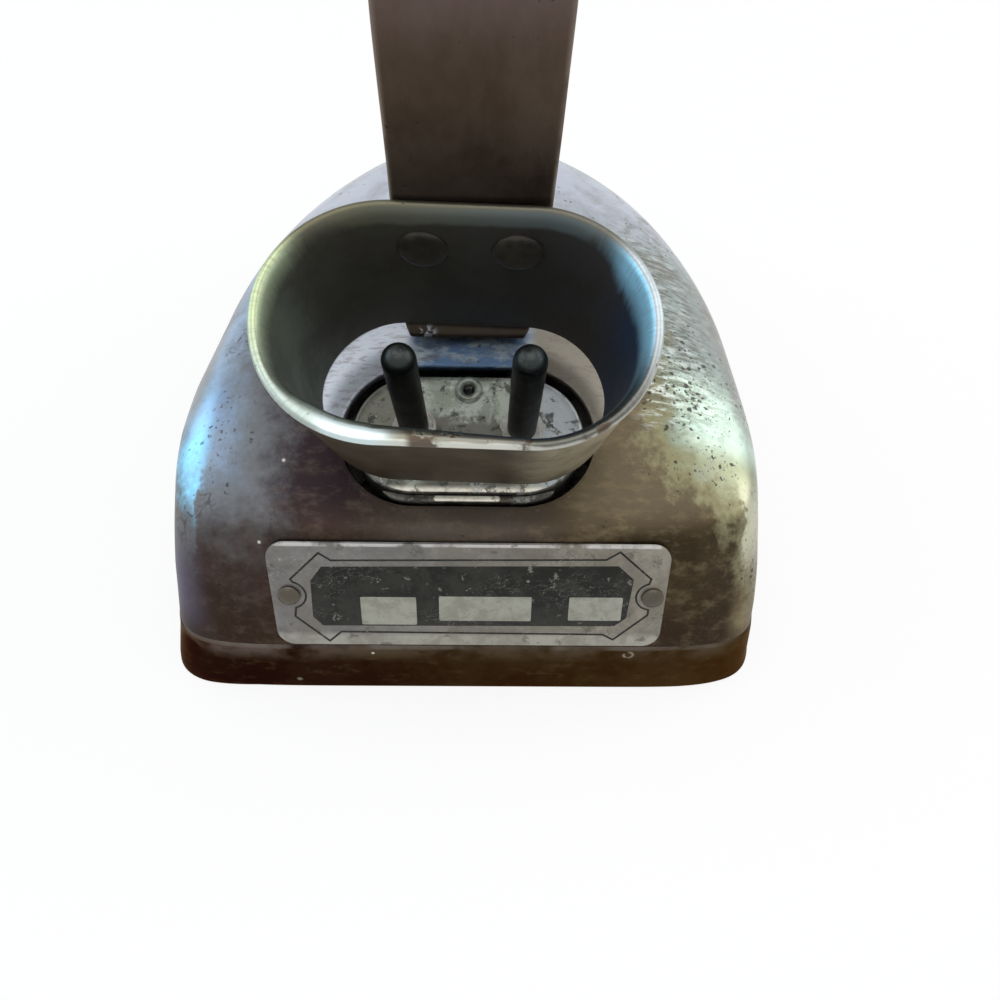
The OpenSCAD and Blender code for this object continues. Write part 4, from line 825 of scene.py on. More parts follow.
def plate_window():
    """Pale bare fields in the heel plate's dark panel."""
    m = Finish("plate_window")
    cloud = m.group(PATCHES, Vector=m.place, Scale=330.0, Cover=0.5, Softness=0.3)["Mask"]
    colour = m.blend(cloud, (0.24, 0.237, 0.195), (0.34, 0.338, 0.285))
    line = m.group(SCRATCHES, Vector=m.scaled(m.place, (300, 300, 1500)), Amount=0.5)
    colour = m.blend(m.math("MULTIPLY", line["Mask"], 0.5), colour, (0.40, 0.39, 0.33))
    pits = m.group(PITS, Vector=m.place, Scale=1300.0, Amount=0.35)
    colour = m.blend(m.math("MULTIPLY", pits["Mask"], 0.6), colour, (0.08, 0.07, 0.05))
    height = m.add_up((m.noise(m.place, 1000.0), 0.7), (pits["Height"], 0.5))
    return m.surface(colour, m.add_up((cloud, 0.12), (1.0, 0.42)), 0.45, height, 0.0001, 0.6)


def plate_black():
    """Black enamel ground of the heel plate, chipped and dusty."""
    m = Finish("plate_black", Specular_IOR_Level=0.15)
    cloud = m.group(PATCHES, Vector=m.place, Scale=240.0, Cover=0.5, Softness=0.3)["Mask"]
    colour = m.blend(cloud, (0.015, 0.015, 0.013), (0.032, 0.031, 0.026))
    chips = m.group(PATCHES, Vector=m.place, Scale=520.0, Cover=0.17, Softness=0.04)["Mask"]
    colour = m.blend(m.math("MULTIPLY", chips, 0.75), colour, (0.22, 0.21, 0.17))
    line = m.group(SCRATCHES, Vector=m.scaled(m.place, (420, 300, 800), turn=(0, 0.6, 0)), Amount=0.35)
    colour = m.blend(m.math("MULTIPLY", line["Mask"], 0.55), colour, (0.26, 0.25, 0.22))
    dust = m.group(SPECKS, Vector=m.place, Scale=360.0, Amount=0.12)["Mask"]
    colour = m.blend(dust, colour, (0.42, 0.41, 0.38))
    roughness = m.add_up((cloud, 0.15), (chips, 0.1), (1.0, 0.36))
    height = m.add_up((m.noise(m.place, 1100.0), 0.5), (chips, -0.6), (dust, 0.6))
    return m.surface(colour, roughness, m.math("MULTIPLY", chips, 0.6), height, 0.0001, 0.5)


def black_wood():
    """Black enamel on a turned wooden grip, worn through where the hand holds it."""
    m = Finish("black_wood", Coat_Weight=0.35, Coat_Roughness=0.22)
    grain = m.noise(m.scaled(m.place, (700, 26, 700)), 1.0, 6.0, 0.65, 0.6)
    held = m.math("MULTIPLY", m.ramp(m.y, -44.0, -22.0), m.ramp(m.y, 34.0, 14.0))
    wear = m.group(PATCHES, Vector=m.scaled(m.place, (1, 0.5, 1)), Scale=75.0,
                   Cover=m.math("MULTIPLY", held, 0.42), Softness=0.05)["Mask"]
    enamel = m.blend(grain, (0.010, 0.009, 0.008), (0.020, 0.017, 0.014))
    wood = m.blend(m.ramp(grain, 0.35, 0.65), (0.085, 0.042, 0.018), (0.20, 0.11, 0.052))
    colour = m.blend(wear, enamel, wood)
    line = m.group(SCRATCHES, Vector=m.scaled(m.place, (260, 1100, 260)), Amount=0.4)
    colour = m.blend(m.math("MULTIPLY", line["Mask"], 0.3), colour, (0.10, 0.085, 0.07))
    roughness = m.add_up((m.between(wear, 0.30, 0.55), 1.0), (grain, 0.12))
    height = m.add_up((grain, 0.6), (wear, -0.7), (line["Height"], 0.3))
    return m.surface(colour, roughness, 0.0, height, 0.00015, 0.45)


def plain_metal(name, dark, pale, roughness, metallic=0.85, stain=(0.05, 0.035, 0.022), spread=0.3, grain=400.0):
    """A plain metal with patches, pits and fine grain in its own colours."""
    m = Finish(name)
    cloud = m.group(PATCHES, Vector=m.place, Scale=180.0, Cover=0.5, Softness=0.35)["Mask"]
    colour = m.blend(cloud, dark, pale)
    spots = m.group(PATCHES, Vector=m.place, Scale=300.0, Cover=spread, Softness=0.1)["Mask"]
    colour = m.blend(m.math("MULTIPLY", spots, 0.7), colour, stain)
    pits = m.group(PITS, Vector=m.place, Scale=1000.0, Amount=0.35)
    colour = m.blend(m.math("MULTIPLY", pits["Mask"], 0.5), colour, stain)
    rough = m.add_up((m.noise(m.place, grain), 0.15), (spots, 0.2), (1.0, roughness))
    height = m.add_up((pits["Height"], 0.6), (m.noise(m.place, grain * 2), 0.5))
    return m.surface(colour, rough, m.math("SUBTRACT", metallic, m.math("MULTIPLY", spots, 0.4)), height,
                     0.0001, 0.45)


def plain_board(name, dark, pale, roughness, scale, flat=1.0):
    """A dull sheet or ceramic with soft mottling and a fine tooth."""
    m = Finish(name)
    cloud = m.group(PATCHES, Vector=m.scaled(m.place, (1, 1, flat)), Scale=scale, Cover=0.5, Softness=0.3)["Mask"]
    colour = m.blend(cloud, dark, pale)
    dirt = m.group(PATCHES, Vector=m.place, Scale=scale * 2.3, Cover=0.2, Softness=0.1)["Mask"]
    colour = m.blend(m.math("MULTIPLY", dirt, 0.5), colour, (0.12, 0.10, 0.075))
    rough = m.add_up((cloud, 0.12), (1.0, roughness))
    height = m.add_up((m.noise(m.place, 1200.0), 0.6), (dirt, -0.3))
    return m.surface(colour, rough, 0.0, height, 0.0001, 0.4)


FINISHES = {
    "worn_nickel": worn_nickel(), "sole_iron": sole_iron(), "rusted_strap": rusted_strap(),
    "collar_nickel": collar_nickel(), "terminal_tin": terminal_tin(), "contact_pin": contact_pin(),
    "rivet_steel": rivet_steel(), "plate_metal": plate_metal(), "plate_window": plate_window(),
    "plate_black": plate_black(), "black_wood": black_wood(),
    "plated_fasteners": plain_metal("plated_fasteners", (0.30, 0.27, 0.23), (0.52, 0.49, 0.44), 0.24),
    "steel": plain_metal("steel", (0.22, 0.20, 0.18), (0.36, 0.34, 0.31), 0.34),
    "raw_iron": plain_metal("raw_iron", (0.05, 0.045, 0.04), (0.10, 0.09, 0.08), 0.6, 0.5),
    "brass": plain_metal("brass", (0.42, 0.29, 0.11), (0.62, 0.46, 0.20), 0.32, 0.9, (0.10, 0.06, 0.03)),
    "ribbon": plain_metal("ribbon", (0.20, 0.19, 0.18), (0.34, 0.32, 0.30), 0.4),
    "mica": plain_board("mica", (0.40, 0.38, 0.32), (0.62, 0.60, 0.54), 0.3, 140.0, 4.0),
    "board": plain_board("board", (0.40, 0.38, 0.33), (0.58, 0.56, 0.51), 0.75, 200.0),
    "porcelain": plain_board("porcelain", (0.62, 0.60, 0.54), (0.78, 0.76, 0.70), 0.5, 160.0),
}


# ---------------------------------------------------------------- pieces made by Geometry Nodes
class Geometry(Nodes):
    """A Geometry Nodes tree with named inputs, all sizes in millimetres."""

    def __init__(self, name, *inputs):
        tree = bpy.data.node_groups.new(name, "GeometryNodeTree")
        for title, kind in (*inputs, ("Material", "NodeSocketMaterial")):
            tree.interface.new_socket(title, in_out="INPUT", socket_type=kind)
        tree.interface.new_socket("Geometry", in_out="OUTPUT", socket_type="NodeSocketGeometry")
        super().__init__(tree)
        self.given = self.add("NodeGroupInput").outputs
        self.leave = self.add("NodeGroupOutput")

    def close(self, geometry):
        """Ends the tree: instances become real, then the material is set."""
        real = self.add("GeometryNodeRealizeInstances", {"Geometry": geometry}).outputs[0]
        dressed = self.add("GeometryNodeSetMaterial", {"Geometry": real, "Material": self.given["Material"]})
        self.put(self.leave.inputs[0], dressed.outputs[0])
        return self.tree


def grow(tree, name, place, **values):
    """Runs a tree with the values of its inputs and puts the result on the iron as a plain mesh."""
    holder = new_object(name + "_start", bpy.data.meshes.new(name + "_start"))
    modifier = holder.modifiers.new("build", "NODES")
    modifier.node_group = tree
    for item in tree.interface.items_tree:
        if item.item_type == "SOCKET" and item.in_out == "INPUT":
            modifier[item.identifier] = values[item.name.replace(" ", "_")]
    graph = bpy.context.evaluated_depsgraph_get()
    mesh = bpy.data.meshes.new_from_object(holder.evaluated_get(graph))
    holder.modifiers.clear()
    bpy.data.objects.remove(holder)
    mesh.name = name
    mesh.transform(Matrix.Scale(MM, 4) @ place)
    return new_object(name, mesh)


def collar_tree():
    """A wall profile carried round an oval path with straight sides."""
    g = Geometry("swept_collar", ("Wall Profile", "NodeSocketObject"), ("Straight", FLOAT), ("Path Radius", FLOAT),
                 ("Steps", "NodeSocketInt"))
    ring = g.add("GeometryNodeCurvePrimitiveCircle", {"Resolution": g.given["Steps"],
                                                      "Radius": g.given["Path Radius"]}).outputs["Curve"]
    x = g.add("ShaderNodeSeparateXYZ", {0: g.add("GeometryNodeInputPosition").outputs[0]}).outputs[0]
    shift = g.math("MULTIPLY", g.math("SIGN", x), g.math("MULTIPLY", g.given["Straight"], 0.5))
    offset = g.add("ShaderNodeCombineXYZ", {0: shift}).outputs[0]
    path = g.add("GeometryNodeSetPosition", {"Geometry": ring, "Offset": offset}).outputs[0]
    path = g.add("GeometryNodeSetCurveNormal", {"Curve": path}, mode="Z_UP").outputs[0]
    wall = g.add("GeometryNodeObjectInfo", {"Object": g.given["Wall Profile"]}).outputs["Geometry"]
    wall = g.add("GeometryNodeMeshToCurve", {"Mesh": wall}).outputs[0]
    swept = g.add("GeometryNodeCurveToMesh", {"Curve": path, "Profile Curve": wall}).outputs[0]
    return g.close(swept)


def grip_tree():
    """A turned grip: a neck at each end, a long swell between them and a bead beside each ferrule."""
    g = Geometry("turned_grip", ("Length", FLOAT), ("Neck Radius", FLOAT), ("Swell Radius", FLOAT),
                 ("Neck Length", FLOAT), ("Bead Radius", FLOAT), ("Bead Sink", FLOAT), ("Bead Place", FLOAT),
                 ("Fullness", FLOAT), ("Steps", "NodeSocketInt"), ("Round Steps", "NodeSocketInt"))
    end = g.add("ShaderNodeCombineXYZ", {2: g.given["Length"]}).outputs[0]
    line = g.add("GeometryNodeCurvePrimitiveLine", {"Start": (0, 0, 0), "End": end}).outputs[0]
    line = g.add("GeometryNodeResampleCurve", {"Curve": line, "Count": g.given["Steps"]}).outputs[0]
    along = g.add("GeometryNodeSplineParameter").outputs["Length"]
    inner = g.math("SUBTRACT", g.given["Length"], g.math("MULTIPLY", g.given["Neck Length"], 2.0))
    part = g.math("DIVIDE", g.math("SUBTRACT", along, g.given["Neck Length"]), inner, clamp=True)
    bow = g.math("MAXIMUM", g.math("SINE", g.math("MULTIPLY", part, math.pi)), 0.0)
    swell = g.math("POWER", bow, g.given["Fullness"])
    radius = g.math("ADD", g.given["Neck Radius"], g.math(
        "MULTIPLY", swell, g.math("SUBTRACT", g.given["Swell Radius"], g.given["Neck Radius"])))
    from_end = g.math("MINIMUM", along, g.math("SUBTRACT", g.given["Length"], along))
    away = g.math("SUBTRACT", from_end, g.given["Bead Place"])
    chord = g.math("SUBTRACT", g.math("MULTIPLY", g.given["Bead Radius"], g.given["Bead Radius"]),
                   g.math("MULTIPLY", away, away))
    bead = g.math("ADD", g.math("SQRT", g.math("MAXIMUM", chord, 0.0)),
                  g.math("SUBTRACT", g.given["Neck Radius"], g.given["Bead Sink"]))
    bead = g.math("MULTIPLY", bead, g.math("GREATER_THAN", chord, 0.0))
    circle = g.add("GeometryNodeCurvePrimitiveCircle", {"Resolution": g.given["Round Steps"],
                                                        "Radius": 1.0}).outputs["Curve"]
    turned = g.add("GeometryNodeCurveToMesh", {
        "Curve": line, "Profile Curve": circle, "Scale": g.math("MAXIMUM", radius, bead), "Fill Caps": True})
    return g.close(turned.outputs[0])


def row_tree():
    """One fastener repeated in a row along X; the first ones may be turned about Z."""
    g = Geometry("row_of_fasteners", ("Piece", "NodeSocketObject"), ("Count", "NodeSocketInt"), ("Pitch", FLOAT),
                 ("Turn", FLOAT))
    last = g.math("SUBTRACT", g.given["Count"], 1.0)
    first_x = g.math("MULTIPLY", g.math("MULTIPLY", last, g.given["Pitch"]), -0.5)
    start = g.add("ShaderNodeCombineXYZ", {0: first_x}).outputs[0]
    step = g.add("ShaderNodeCombineXYZ", {0: g.given["Pitch"]}).outputs[0]
    row = g.add("GeometryNodeMeshLine", {"Count": g.given["Count"], "Start Location": start, "Offset": step})
    index = g.add("GeometryNodeInputIndex").outputs[0]
    turn = g.math("MULTIPLY", g.math("SUBTRACT", last, index), g.given["Turn"])
    turned = g.add("ShaderNodeCombineXYZ", {2: turn}).outputs[0]
    piece = g.add("GeometryNodeObjectInfo", {"Object": g.given["Piece"]}).outputs["Geometry"]
    placed = g.add("GeometryNodeInstanceOnPoints", {"Points": row.outputs[0], "Instance": piece,
                                                    "Rotation": turned}).outputs[0]
    return g.close(placed)


ROW = row_tree()
UNIT = Matrix.Identity(4)


def row_of(name, piece, pitch, place, material, turn=0.0):
    """Two of one fastener, which is made around the origin in millimetres and then removed."""
    obj = grow(ROW, name, place, Piece=piece, Count=2, Pitch=pitch, Turn=turn, Material=FINISHES[material])
    bpy.data.objects.remove(piece)
    return finish_mesh(obj)


def pattern(name, profile, closed=False, steps=64, shape=None, axis_x=False):
    """A fastener around the origin in millimetres, turned or with a cross-section of its own."""
    verts = []
    for r, h in profile:
        for i in range(steps):
            a = 2 * math.pi * (i + 0.5) / steps
            reach = min(r, shape(a)) if shape else r
            point = (reach * math.cos(a), reach * math.sin(a), h)
            verts.append((point[2], point[1], -point[0]) if axis_x else point)
    mesh = bpy.data.meshes.new(name)
    mesh.from_pydata(verts, [], ring_faces(len(profile), steps, closed))
    return new_object(name, mesh)


def hexagon(af):
    """Radius of a hexagon by angle."""
    def reach(a):
        return af / 2 / math.cos((a + math.pi / 6) % (math.pi / 3) - math.pi / 6)
    return reach


def turned(name, profile, place, closed=False, steps=72):
    """A turned piece of the iron from a profile of (radius, height) points."""
    verts = [(r * math.cos(a), r * math.sin(a), h) for r, h in profile
             for a in (2 * math.pi * i / steps for i in range(steps))]
    obj = new_object(name, mesh_from(name, verts, ring_faces(len(profile), steps, closed), place))
    return finish_mesh(obj)


# ---------------------------------------------------------------- sole and cover
def make_sole():
    count = 320
    rings = []
    for r, h in arc((0, SOLE_EDGE), SOLE_EDGE, -90, 0, 6):
        rings.append(sole_outline(SOLE_EDGE - r, SOLE_EDGE - r, h, count))
    for h in np.linspace(SOLE_EDGE + 0.7, SEAM_Z - 0.35, 16):
        part = (h - SOLE_EDGE) / (SEAM_Z - SOLE_EDGE)
        rings.append(sole_outline(SOLE_FLARE * part, END_FLARE * part, h, count))
    for inset, h in ((0.03, -0.22), (0.12, -0.08), (0.3, 0.0), (STEP_INSET, 0.0), (STEP_INSET, STEP_HEIGHT)):
        rings.append(seam_outline(inset, SEAM_Z + h, count))
    verts = [p for ring in rings for p in ring]
    mesh = mesh_from("sole_body", verts, ring_faces(len(rings), len(rings[0])))
    return finish_mesh(new_object("sole_body", mesh))


def fuller_corner(x, y, z):
    """Low down, the sole's left heel corner is a little sharper and its right one rounder than the even outline."""
    def part(value, low, high):
        return float(np.interp(value, (low, high), (0.0, 1.0)))
    low = part(-y, -18.0, -6.0) * part(-z, -11.0, -3.0)
    out, back = 0.45 * part(-x, 38.0, 47.0) * low, 0.5 * part(x, 38.0, 47.0) * low
    return max(x - out, -SOLE_HALF) - back, max(y - out, min(y, 0.0)) + back * 0.3, z


def old_shape(x, d, z):
    """Where the old cover is a little flatter or fuller than its even form."""
    def part(value, low, high):
        return float(np.interp(value, (low, high), (0.0, 1.0)))
    over_seam = part(z, SEAM_Z + 1.0, SEAM_Z + 9.0)
    inward = 0.95 * part(-x, 14.0, 30.0) * part(d, 40.0, 58.0)
    heel = part(z, 22.0, 30.0) * part(-d, -30.0, -20.0)
    inward += heel * (0.5 * part(-x, 34.0, 44.0) - 0.3 * part(x, 34.0, 44.0))
    bulge = 0.22 * part(x, 36.0, 46.0) * part(-d, -22.0, -14.0) * part(z, SEAM_Z, SEAM_Z + 3.0) * part(-z, -26.0, -20.0)
    return x + inward * over_seam + bulge, d, z


def make_cover_shell():
    count = 320
    crown = CROWN_Z - 0.45
    rings = [cover_ring(CROWN_Z - COVER_WALL, COVER_WALL, count)]
    for k in range(13, -1, -1):
        rings.append(cover_ring(mix(SEAM_Z, CROWN_Z - COVER_WALL, math.sin(math.pi / 2 * k / 14)), COVER_WALL, count))
    rings.append(seam_outline(0.35, SEAM_Z, count))
    rings.append(seam_outline(0.1, SEAM_Z + 0.1, count))
    for k in range(1, 90):
        rings.append(cover_ring(mix(SEAM_Z, crown, math.sin(math.pi / 2 * k / 90)), 0.0, count))
    outer, corner = (np.array(cover_ring(z, 0.0, count)) for z in (crown, CROWN_Z - 0.06))
    corner[:, 2] = CROWN_Z
    middle = np.array([0, mix(REAR_STUD_Y, FRONT_STUD_Y, 0.5), CROWN_Z])
    inner = corner + (middle - corner) * 0.04
    for t in (0.0, 0.2, 0.4, 0.6, 0.8, 1.0):
        rings.append([tuple(p) for p in outer * (1 - t) ** 2 + corner * 2 * t * (1 - t) + inner * t * t])
    verts = [old_shape(*p) for ring in rings for p in ring]
    mesh = mesh_from("cover_shell", verts, ring_faces(len(rings), len(rings[0])))
    return finish_mesh(new_object("cover_shell", mesh))


def oval_solid(name, rings, straight, place, count=160, closed=False):
    """A solid from (radius, height) rings that have straight sides and round ends."""
    verts = []
    for radius, h in rings:
        verts += [(x, y, h) for x, y in oval(straight, radius, count)[0]]
    mesh = mesh_from(name, verts, ring_faces(len(rings), count, closed), place)
    return finish_mesh(new_object(name, mesh))


def cut(obj, *cutters):
    """Cuts solids out of a piece and removes them."""
    for cutter in cutters:
        modifier = obj.modifiers.new("cut", "BOOLEAN")
        modifier.operation, modifier.solver, modifier.object = "DIFFERENCE", "EXACT", cutter
    graph = bpy.context.evaluated_depsgraph_get()
    mesh = bpy.data.meshes.new_from_object(obj.evaluated_get(graph))
    obj.modifiers.clear()
    obj.data = mesh
    for cutter in cutters:
        bpy.data.objects.remove(cutter)
    return finish_mesh(obj)


def make_hole_lip():
    """The turned-in edge of the sheet round the terminal hole."""
    section = [(0.9, -0.30, False), (0.9, -0.02, False), (0.72, 0.012, False), (0.5, 0.015, False)]
    section += [(0.5 - 0.5 * math.sin(math.radians(a)), 0.015 - 0.5 + 0.5 * math.cos(math.radians(a)), False)
                for a in (18, 36, 54, 72, 90)]
    section += [(0.0, -1.25, False), (0.15, -1.3, False), (0.5, -1.3, False)]
    count = 240
    verts = []
    flat, outward = oval(CAP_STRAIGHT, HOLE_RADIUS, count)
    dense = []
    for (x, y), (nx, ny) in zip(flat, outward):
        dense.append((x, y, nx, ny))
    side_a = [(mix(-CAP_STRAIGHT / 2, CAP_STRAIGHT / 2, i / 20), -HOLE_RADIUS, 0.0, -1.0) for i in range(1, 20)]
    side_b = [(mix(CAP_STRAIGHT / 2, -CAP_STRAIGHT / 2, i / 20), HOLE_RADIUS, 0.0, 1.0) for i in range(1, 20)]
    half = count // 2
    path = dense[:half] + side_b + dense[half:] + side_a
    for x, y, nx, ny in path:
        for out, h, _ in section:
            px, py = x + nx * out, y + ny * out
            verts.append((px, py, cover_height(px, py) + h))
    faces = ring_faces(len(path), len(section), closed=True)
    return finish_mesh(new_object("hole_lip", mesh_from("hole_lip", verts, faces, AT_TERMINAL)))


dress(reshaped(make_sole(), IN_FRAME, fuller_corner), FINISHES["sole_iron"], "sole_iron", "sole_plate")
cover = make_cover_shell()
hole = oval_solid("hole", [(HOLE_RADIUS + 0.25, -4.5), (HOLE_RADIUS + 0.25, 5.0)], CAP_STRAIGHT, AT_TERMINAL)
cover = dress(dented(cut(cover, hole), 24.0, 0.12, 1), FINISHES["worn_nickel"], "worn_nickel", "top_cover")
dress(dented(make_hole_lip(), 24.0, 0.12, 1), FINISHES["worn_nickel"], "worn_nickel")


# ---------------------------------------------------------------- plug collar
def collar_section():
    """Wall profile of the collar as (distance out from the inner small end, height) points."""
    foot = COLLAR_LENGTH - MOUTH_DEPTH
    wide = RIM_X - COLLAR_RADIUS - foot * math.tan(COLLAR_TAPER)
    points = [(COLLAR_RADIUS + 0.25, 0.0)]
    points += [(COLLAR_RADIUS + h * math.tan(COLLAR_TAPER), h) for h in np.linspace(0.25, foot, 14)]
    points += [(RIM_X - wide * math.cos(a), foot + MOUTH_DEPTH * math.sin(a))
               for a in (math.pi / 2 * i / 12 for i in range(1, 12))]
    points += arc((RIM_X, RIM_W), RIM_R, 90, -41, 14)
    points += [(COLLAR_OUT + h * LEG_SLOPE, h) for h in np.linspace(RIM_W - 1.0, 0.25, 14)]
    points += [(COLLAR_OUT - 0.25, 0.0)]
    return points


def make_collar():
    section = collar_section()
    mesh = bpy.data.meshes.new("wall_profile")
    mesh.from_pydata([(x - COLLAR_RADIUS, -h, 0) for x, h in section],
                     [(i, (i + 1) % len(section)) for i in range(len(section))], [])
    profile = new_object("wall_profile", mesh)
    obj = grow(collar_tree(), "flared_collar", AT_COLLAR, Wall_Profile=profile, Straight=COLLAR_STRAIGHT,
               Path_Radius=COLLAR_RADIUS, Steps=190, Material=FINISHES["collar_nickel"])
    bpy.data.objects.remove(profile)
    finish_mesh(obj)
    inside = obj.data.attributes.new("inside", "FLOAT", "POINT")
    over = obj.data.attributes.new("over", "FLOAT", "POINT")
    back = (Matrix.Scale(MM, 4) @ AT_COLLAR).inverted()
    for i, v in enumerate(obj.data.vertices):
        p = back @ v.co
        out = math.hypot(max(0.0, abs(p.x) - COLLAR_STRAIGHT / 2), p.y)
        middle = COLLAR_RADIUS + COLLAR_WALL / 2 + p.z * math.tan(COLLAR_TAPER)
        inside.data[i].value = 1.0 if out < middle else 0.0
        over.data[i].value = min(1.0, max(-1.0, (out - RIM_X) / RIM_R))
    return obj


def settled(x, y, w):
    """The old collar sits a little askew: turned and moved left, with its front lip sunk and its foot raised."""
    up = min(1.0, max(0.0, w / COLLAR_LENGTH))
    near = min(1.0, max(0.0, (6.0 - y) / 12.0))
    near *= near * (3 - 2 * near)
    x, y = x * 0.982, y - 0.15 * near * up + 0.75 * near * (1 - up)
    x -= 0.6 * up * float(np.interp(-x, (6.0, 20.0), (0.0, 1.0)))
    # The lip is thicker toward the mouth at the front on the left
    dx, dy = x - min(COLLAR_STRAIGHT / 2, max(-COLLAR_STRAIGHT / 2, x)), y
    reach = max(1.0, math.hypot(dx, dy))
    thick = float(np.interp(-y, (3.0, 12.0), (0.0, 1.0)) * np.interp(-x, (3.0, 11.0, 18.0, 23.0), (0.0, 1.0, 1.0, 0.2))
                  * np.interp(w, (RIM_W - 2.5, RIM_W), (0.0, 1.0))
                  * np.interp(reach, (RIM_X - RIM_R, RIM_X + RIM_R * 0.6), (1.3, 0.0)))
    x, y = x - thick * dx / reach, y - thick * dy / reach
    return x * COS_ASKEW + y * SIN_ASKEW - 0.65, y * COS_ASKEW - x * SIN_ASKEW, w - 1.1 * near * up


COS_ASKEW, SIN_ASKEW = math.cos(math.radians(1.5)), math.sin(math.radians(1.5))
collar = dress(dented(reshaped(make_collar(), AT_COLLAR, settled), 16.0, 0.1, 2), None, "collar_nickel", "plug_collar")


# ---------------------------------------------------------------- handle strap and grip
def bent_line(points, radii, steps=14):
    """A line in the side view with its corners rounded."""
    line = [Vector(points[0])]
    for i, radius in enumerate(radii):
        a, b, c = (Vector(points[i + k]) for k in range(3))
        u, v = (a - b).normalized(), (c - b).normalized()
        half = math.acos(u.dot(v)) / 2
        centre = b + (u + v).normalized() * radius / math.sin(half)
        first, last = b + u * radius / math.tan(half) - centre, b + v * radius / math.tan(half) - centre
        start = math.atan2(first.y, first.x)
        sweep = (math.atan2(last.y, last.x) - start + 3 * math.pi) % (2 * math.pi) - math.pi
        line += [centre + radius * Vector((math.cos(start + sweep * k / steps), math.sin(start + sweep * k / steps)))
                 for k in range(steps + 1)]
    return line + [Vector(points[-1])]


def strap_path():
    """Middle line of the strap, evenly spaced, from the front leg's end to the rear leg's."""
    foot_w = STRAP_T / 2 + 0.15

    def leg_y(w):
        return COLLAR_OFFSET + COLLAR_OUT + STRAP_T / 2 / math.cos(COLLAR_FLARE) + (w - COLLAR_LIFT) * LEG_SLOPE

    bend_w = COLLAR_LIFT + COLLAR_LENGTH - 6.0
    end = GRIP_Z + STRAP_W / 2
    points = [(FRONT_LEG_Y, end), (FRONT_LEG_Y, 97.0), (FRONT_BEND_Y, CROWN_Z + STRAP_T / 2),
              from_terminal((CROWN_Z + STRAP_T / 2 - TERM_Z - foot_w * math.cos(TILT)) / math.sin(TILT), foot_w),
              from_terminal(leg_y(foot_w), foot_w), from_terminal(leg_y(bend_w), bend_w),
              (REAR_LEG_Y, 101.0), (REAR_LEG_Y, end)]
    line = bent_line(points, [24.0, 5.6, 3.0, STRAP_T / 2 + 0.5, 12.0, 24.0])
    dense = []
    for a, b in zip(line, line[1:]):
        parts = max(1, int((b - a).length / 1.4))
        dense += [a.lerp(b, i / parts) for i in range(parts)]
    return dense + [line[-1]]


def strap_half_width(z):
    half = mix(STRAP_FOOT_W, STRAP_W, min(1.0, max(0.0, (z - CROWN_Z) / (GRIP_Z - 40.0 - CROWN_Z)))) / 2
    if z > GRIP_Z:
        half = math.sqrt(max(0.0, (STRAP_W / 2) ** 2 - (z - GRIP_Z) ** 2))
    return half


def end_heights():
    """Extra places near the round ends, so that their outline is smooth."""
    return [GRIP_Z + STRAP_W / 2 * math.sin(math.radians(a)) for a in range(4, 90, 4)] + [GRIP_Z + STRAP_W / 2 - 0.02]


def make_strap():
    line = [p for p in strap_path() if p.y < GRIP_Z]
    front = [Vector((FRONT_LEG_Y, z)) for z in reversed(end_heights())]
    rear = [Vector((REAR_LEG_Y, z)) for z in end_heights()]
    line = front + [Vector((FRONT_LEG_Y, GRIP_Z))] + line + [Vector((REAR_LEG_Y, GRIP_Z))] + rear
    flats, edge_r = 10, 0.85
    verts, edges = [], []
    for i, p in enumerate(line):
        before, after = line[max(i, 1)] - line[max(i, 1) - 1], line[min(i, len(line) - 2) + 1] - line[min(i, len(line) - 2)]
        along = (before.normalized() + after.normalized()).normalized()
        side = Vector((-along.y, along.x))
        half = strap_half_width(p.y)
        r = min(edge_r, half * 0.9)
        thick = STRAP_T / 2
        section = []
        for k, (cx, cy) in enumerate(((1, 1), (-1, 1), (-1, -1), (1, -1))):
            for step in range(5):
                a = math.radians(90 * k + 90 * step / 4)
                section.append((cx * (half - r) + r * math.cos(a), cy * (thick - r) + r * math.sin(a),
                                1.0 - abs(step - 2) / 2))
            nx, ny = ((-1, 1), (-1, -1), (1, -1), (1, 1))[k]
            a = math.radians(90 * (k + 1))
            end_a = (cx * (half - r) + r * math.cos(a), cy * (thick - r) + r * math.sin(a))
            end_b = (nx * (half - r) + r * math.cos(a), ny * (thick - r) + r * math.sin(a))
            for step in range(1, flats if k % 2 == 0 else 3):
                f = step / (flats if k % 2 == 0 else 3)
                section.append((mix(end_a[0], end_b[0], f), mix(end_a[1], end_b[1], f), 0.0))
        for x, t, wear in section:
            verts.append((x, p.x + side.x * t, p.y + side.y * t))
            edges.append(wear)
    size = len(verts) // len(line)
    mesh = mesh_from("bent_strap", verts, ring_faces(len(line), size))
    worn = mesh.attributes.new("edge", "FLOAT", "POINT")
    worn.data.foreach_set("value", edges)
    return finish_mesh(new_object("bent_strap", mesh), 40.0)


def leaned(x, y, z):
    """The handle stands a little askew, so it moves sideways with its height."""
    return x + float(np.interp(z, (48.0, 71.0, 118.0), (-0.4, 0.6, 1.45))), y, z


def heeled(x, y, w):
    """The strap's bend reaches back under the collar, where it is a little narrower."""
    back = float(np.interp(w, (2.3, 3.5), (1.0, 0.0)) * np.interp(y, (19.8, 22.3), (1.0, 0.0)))
    return x * (1 - 0.11 * back), y - 3.0 * back, w


dress(dented(reshaped(reshaped(make_strap(), AT_TERMINAL, heeled), IN_FRAME, leaned), 18.0, 0.12, 3),
      FINISHES["rusted_strap"], "rusted_strap", "handle_strap")

GRIP_START = REAR_LEG_Y + STRAP_T / 2 + FERRULE_WALL
GRIP_LENGTH = FRONT_LEG_Y - STRAP_T / 2 - FERRULE_WALL - GRIP_START


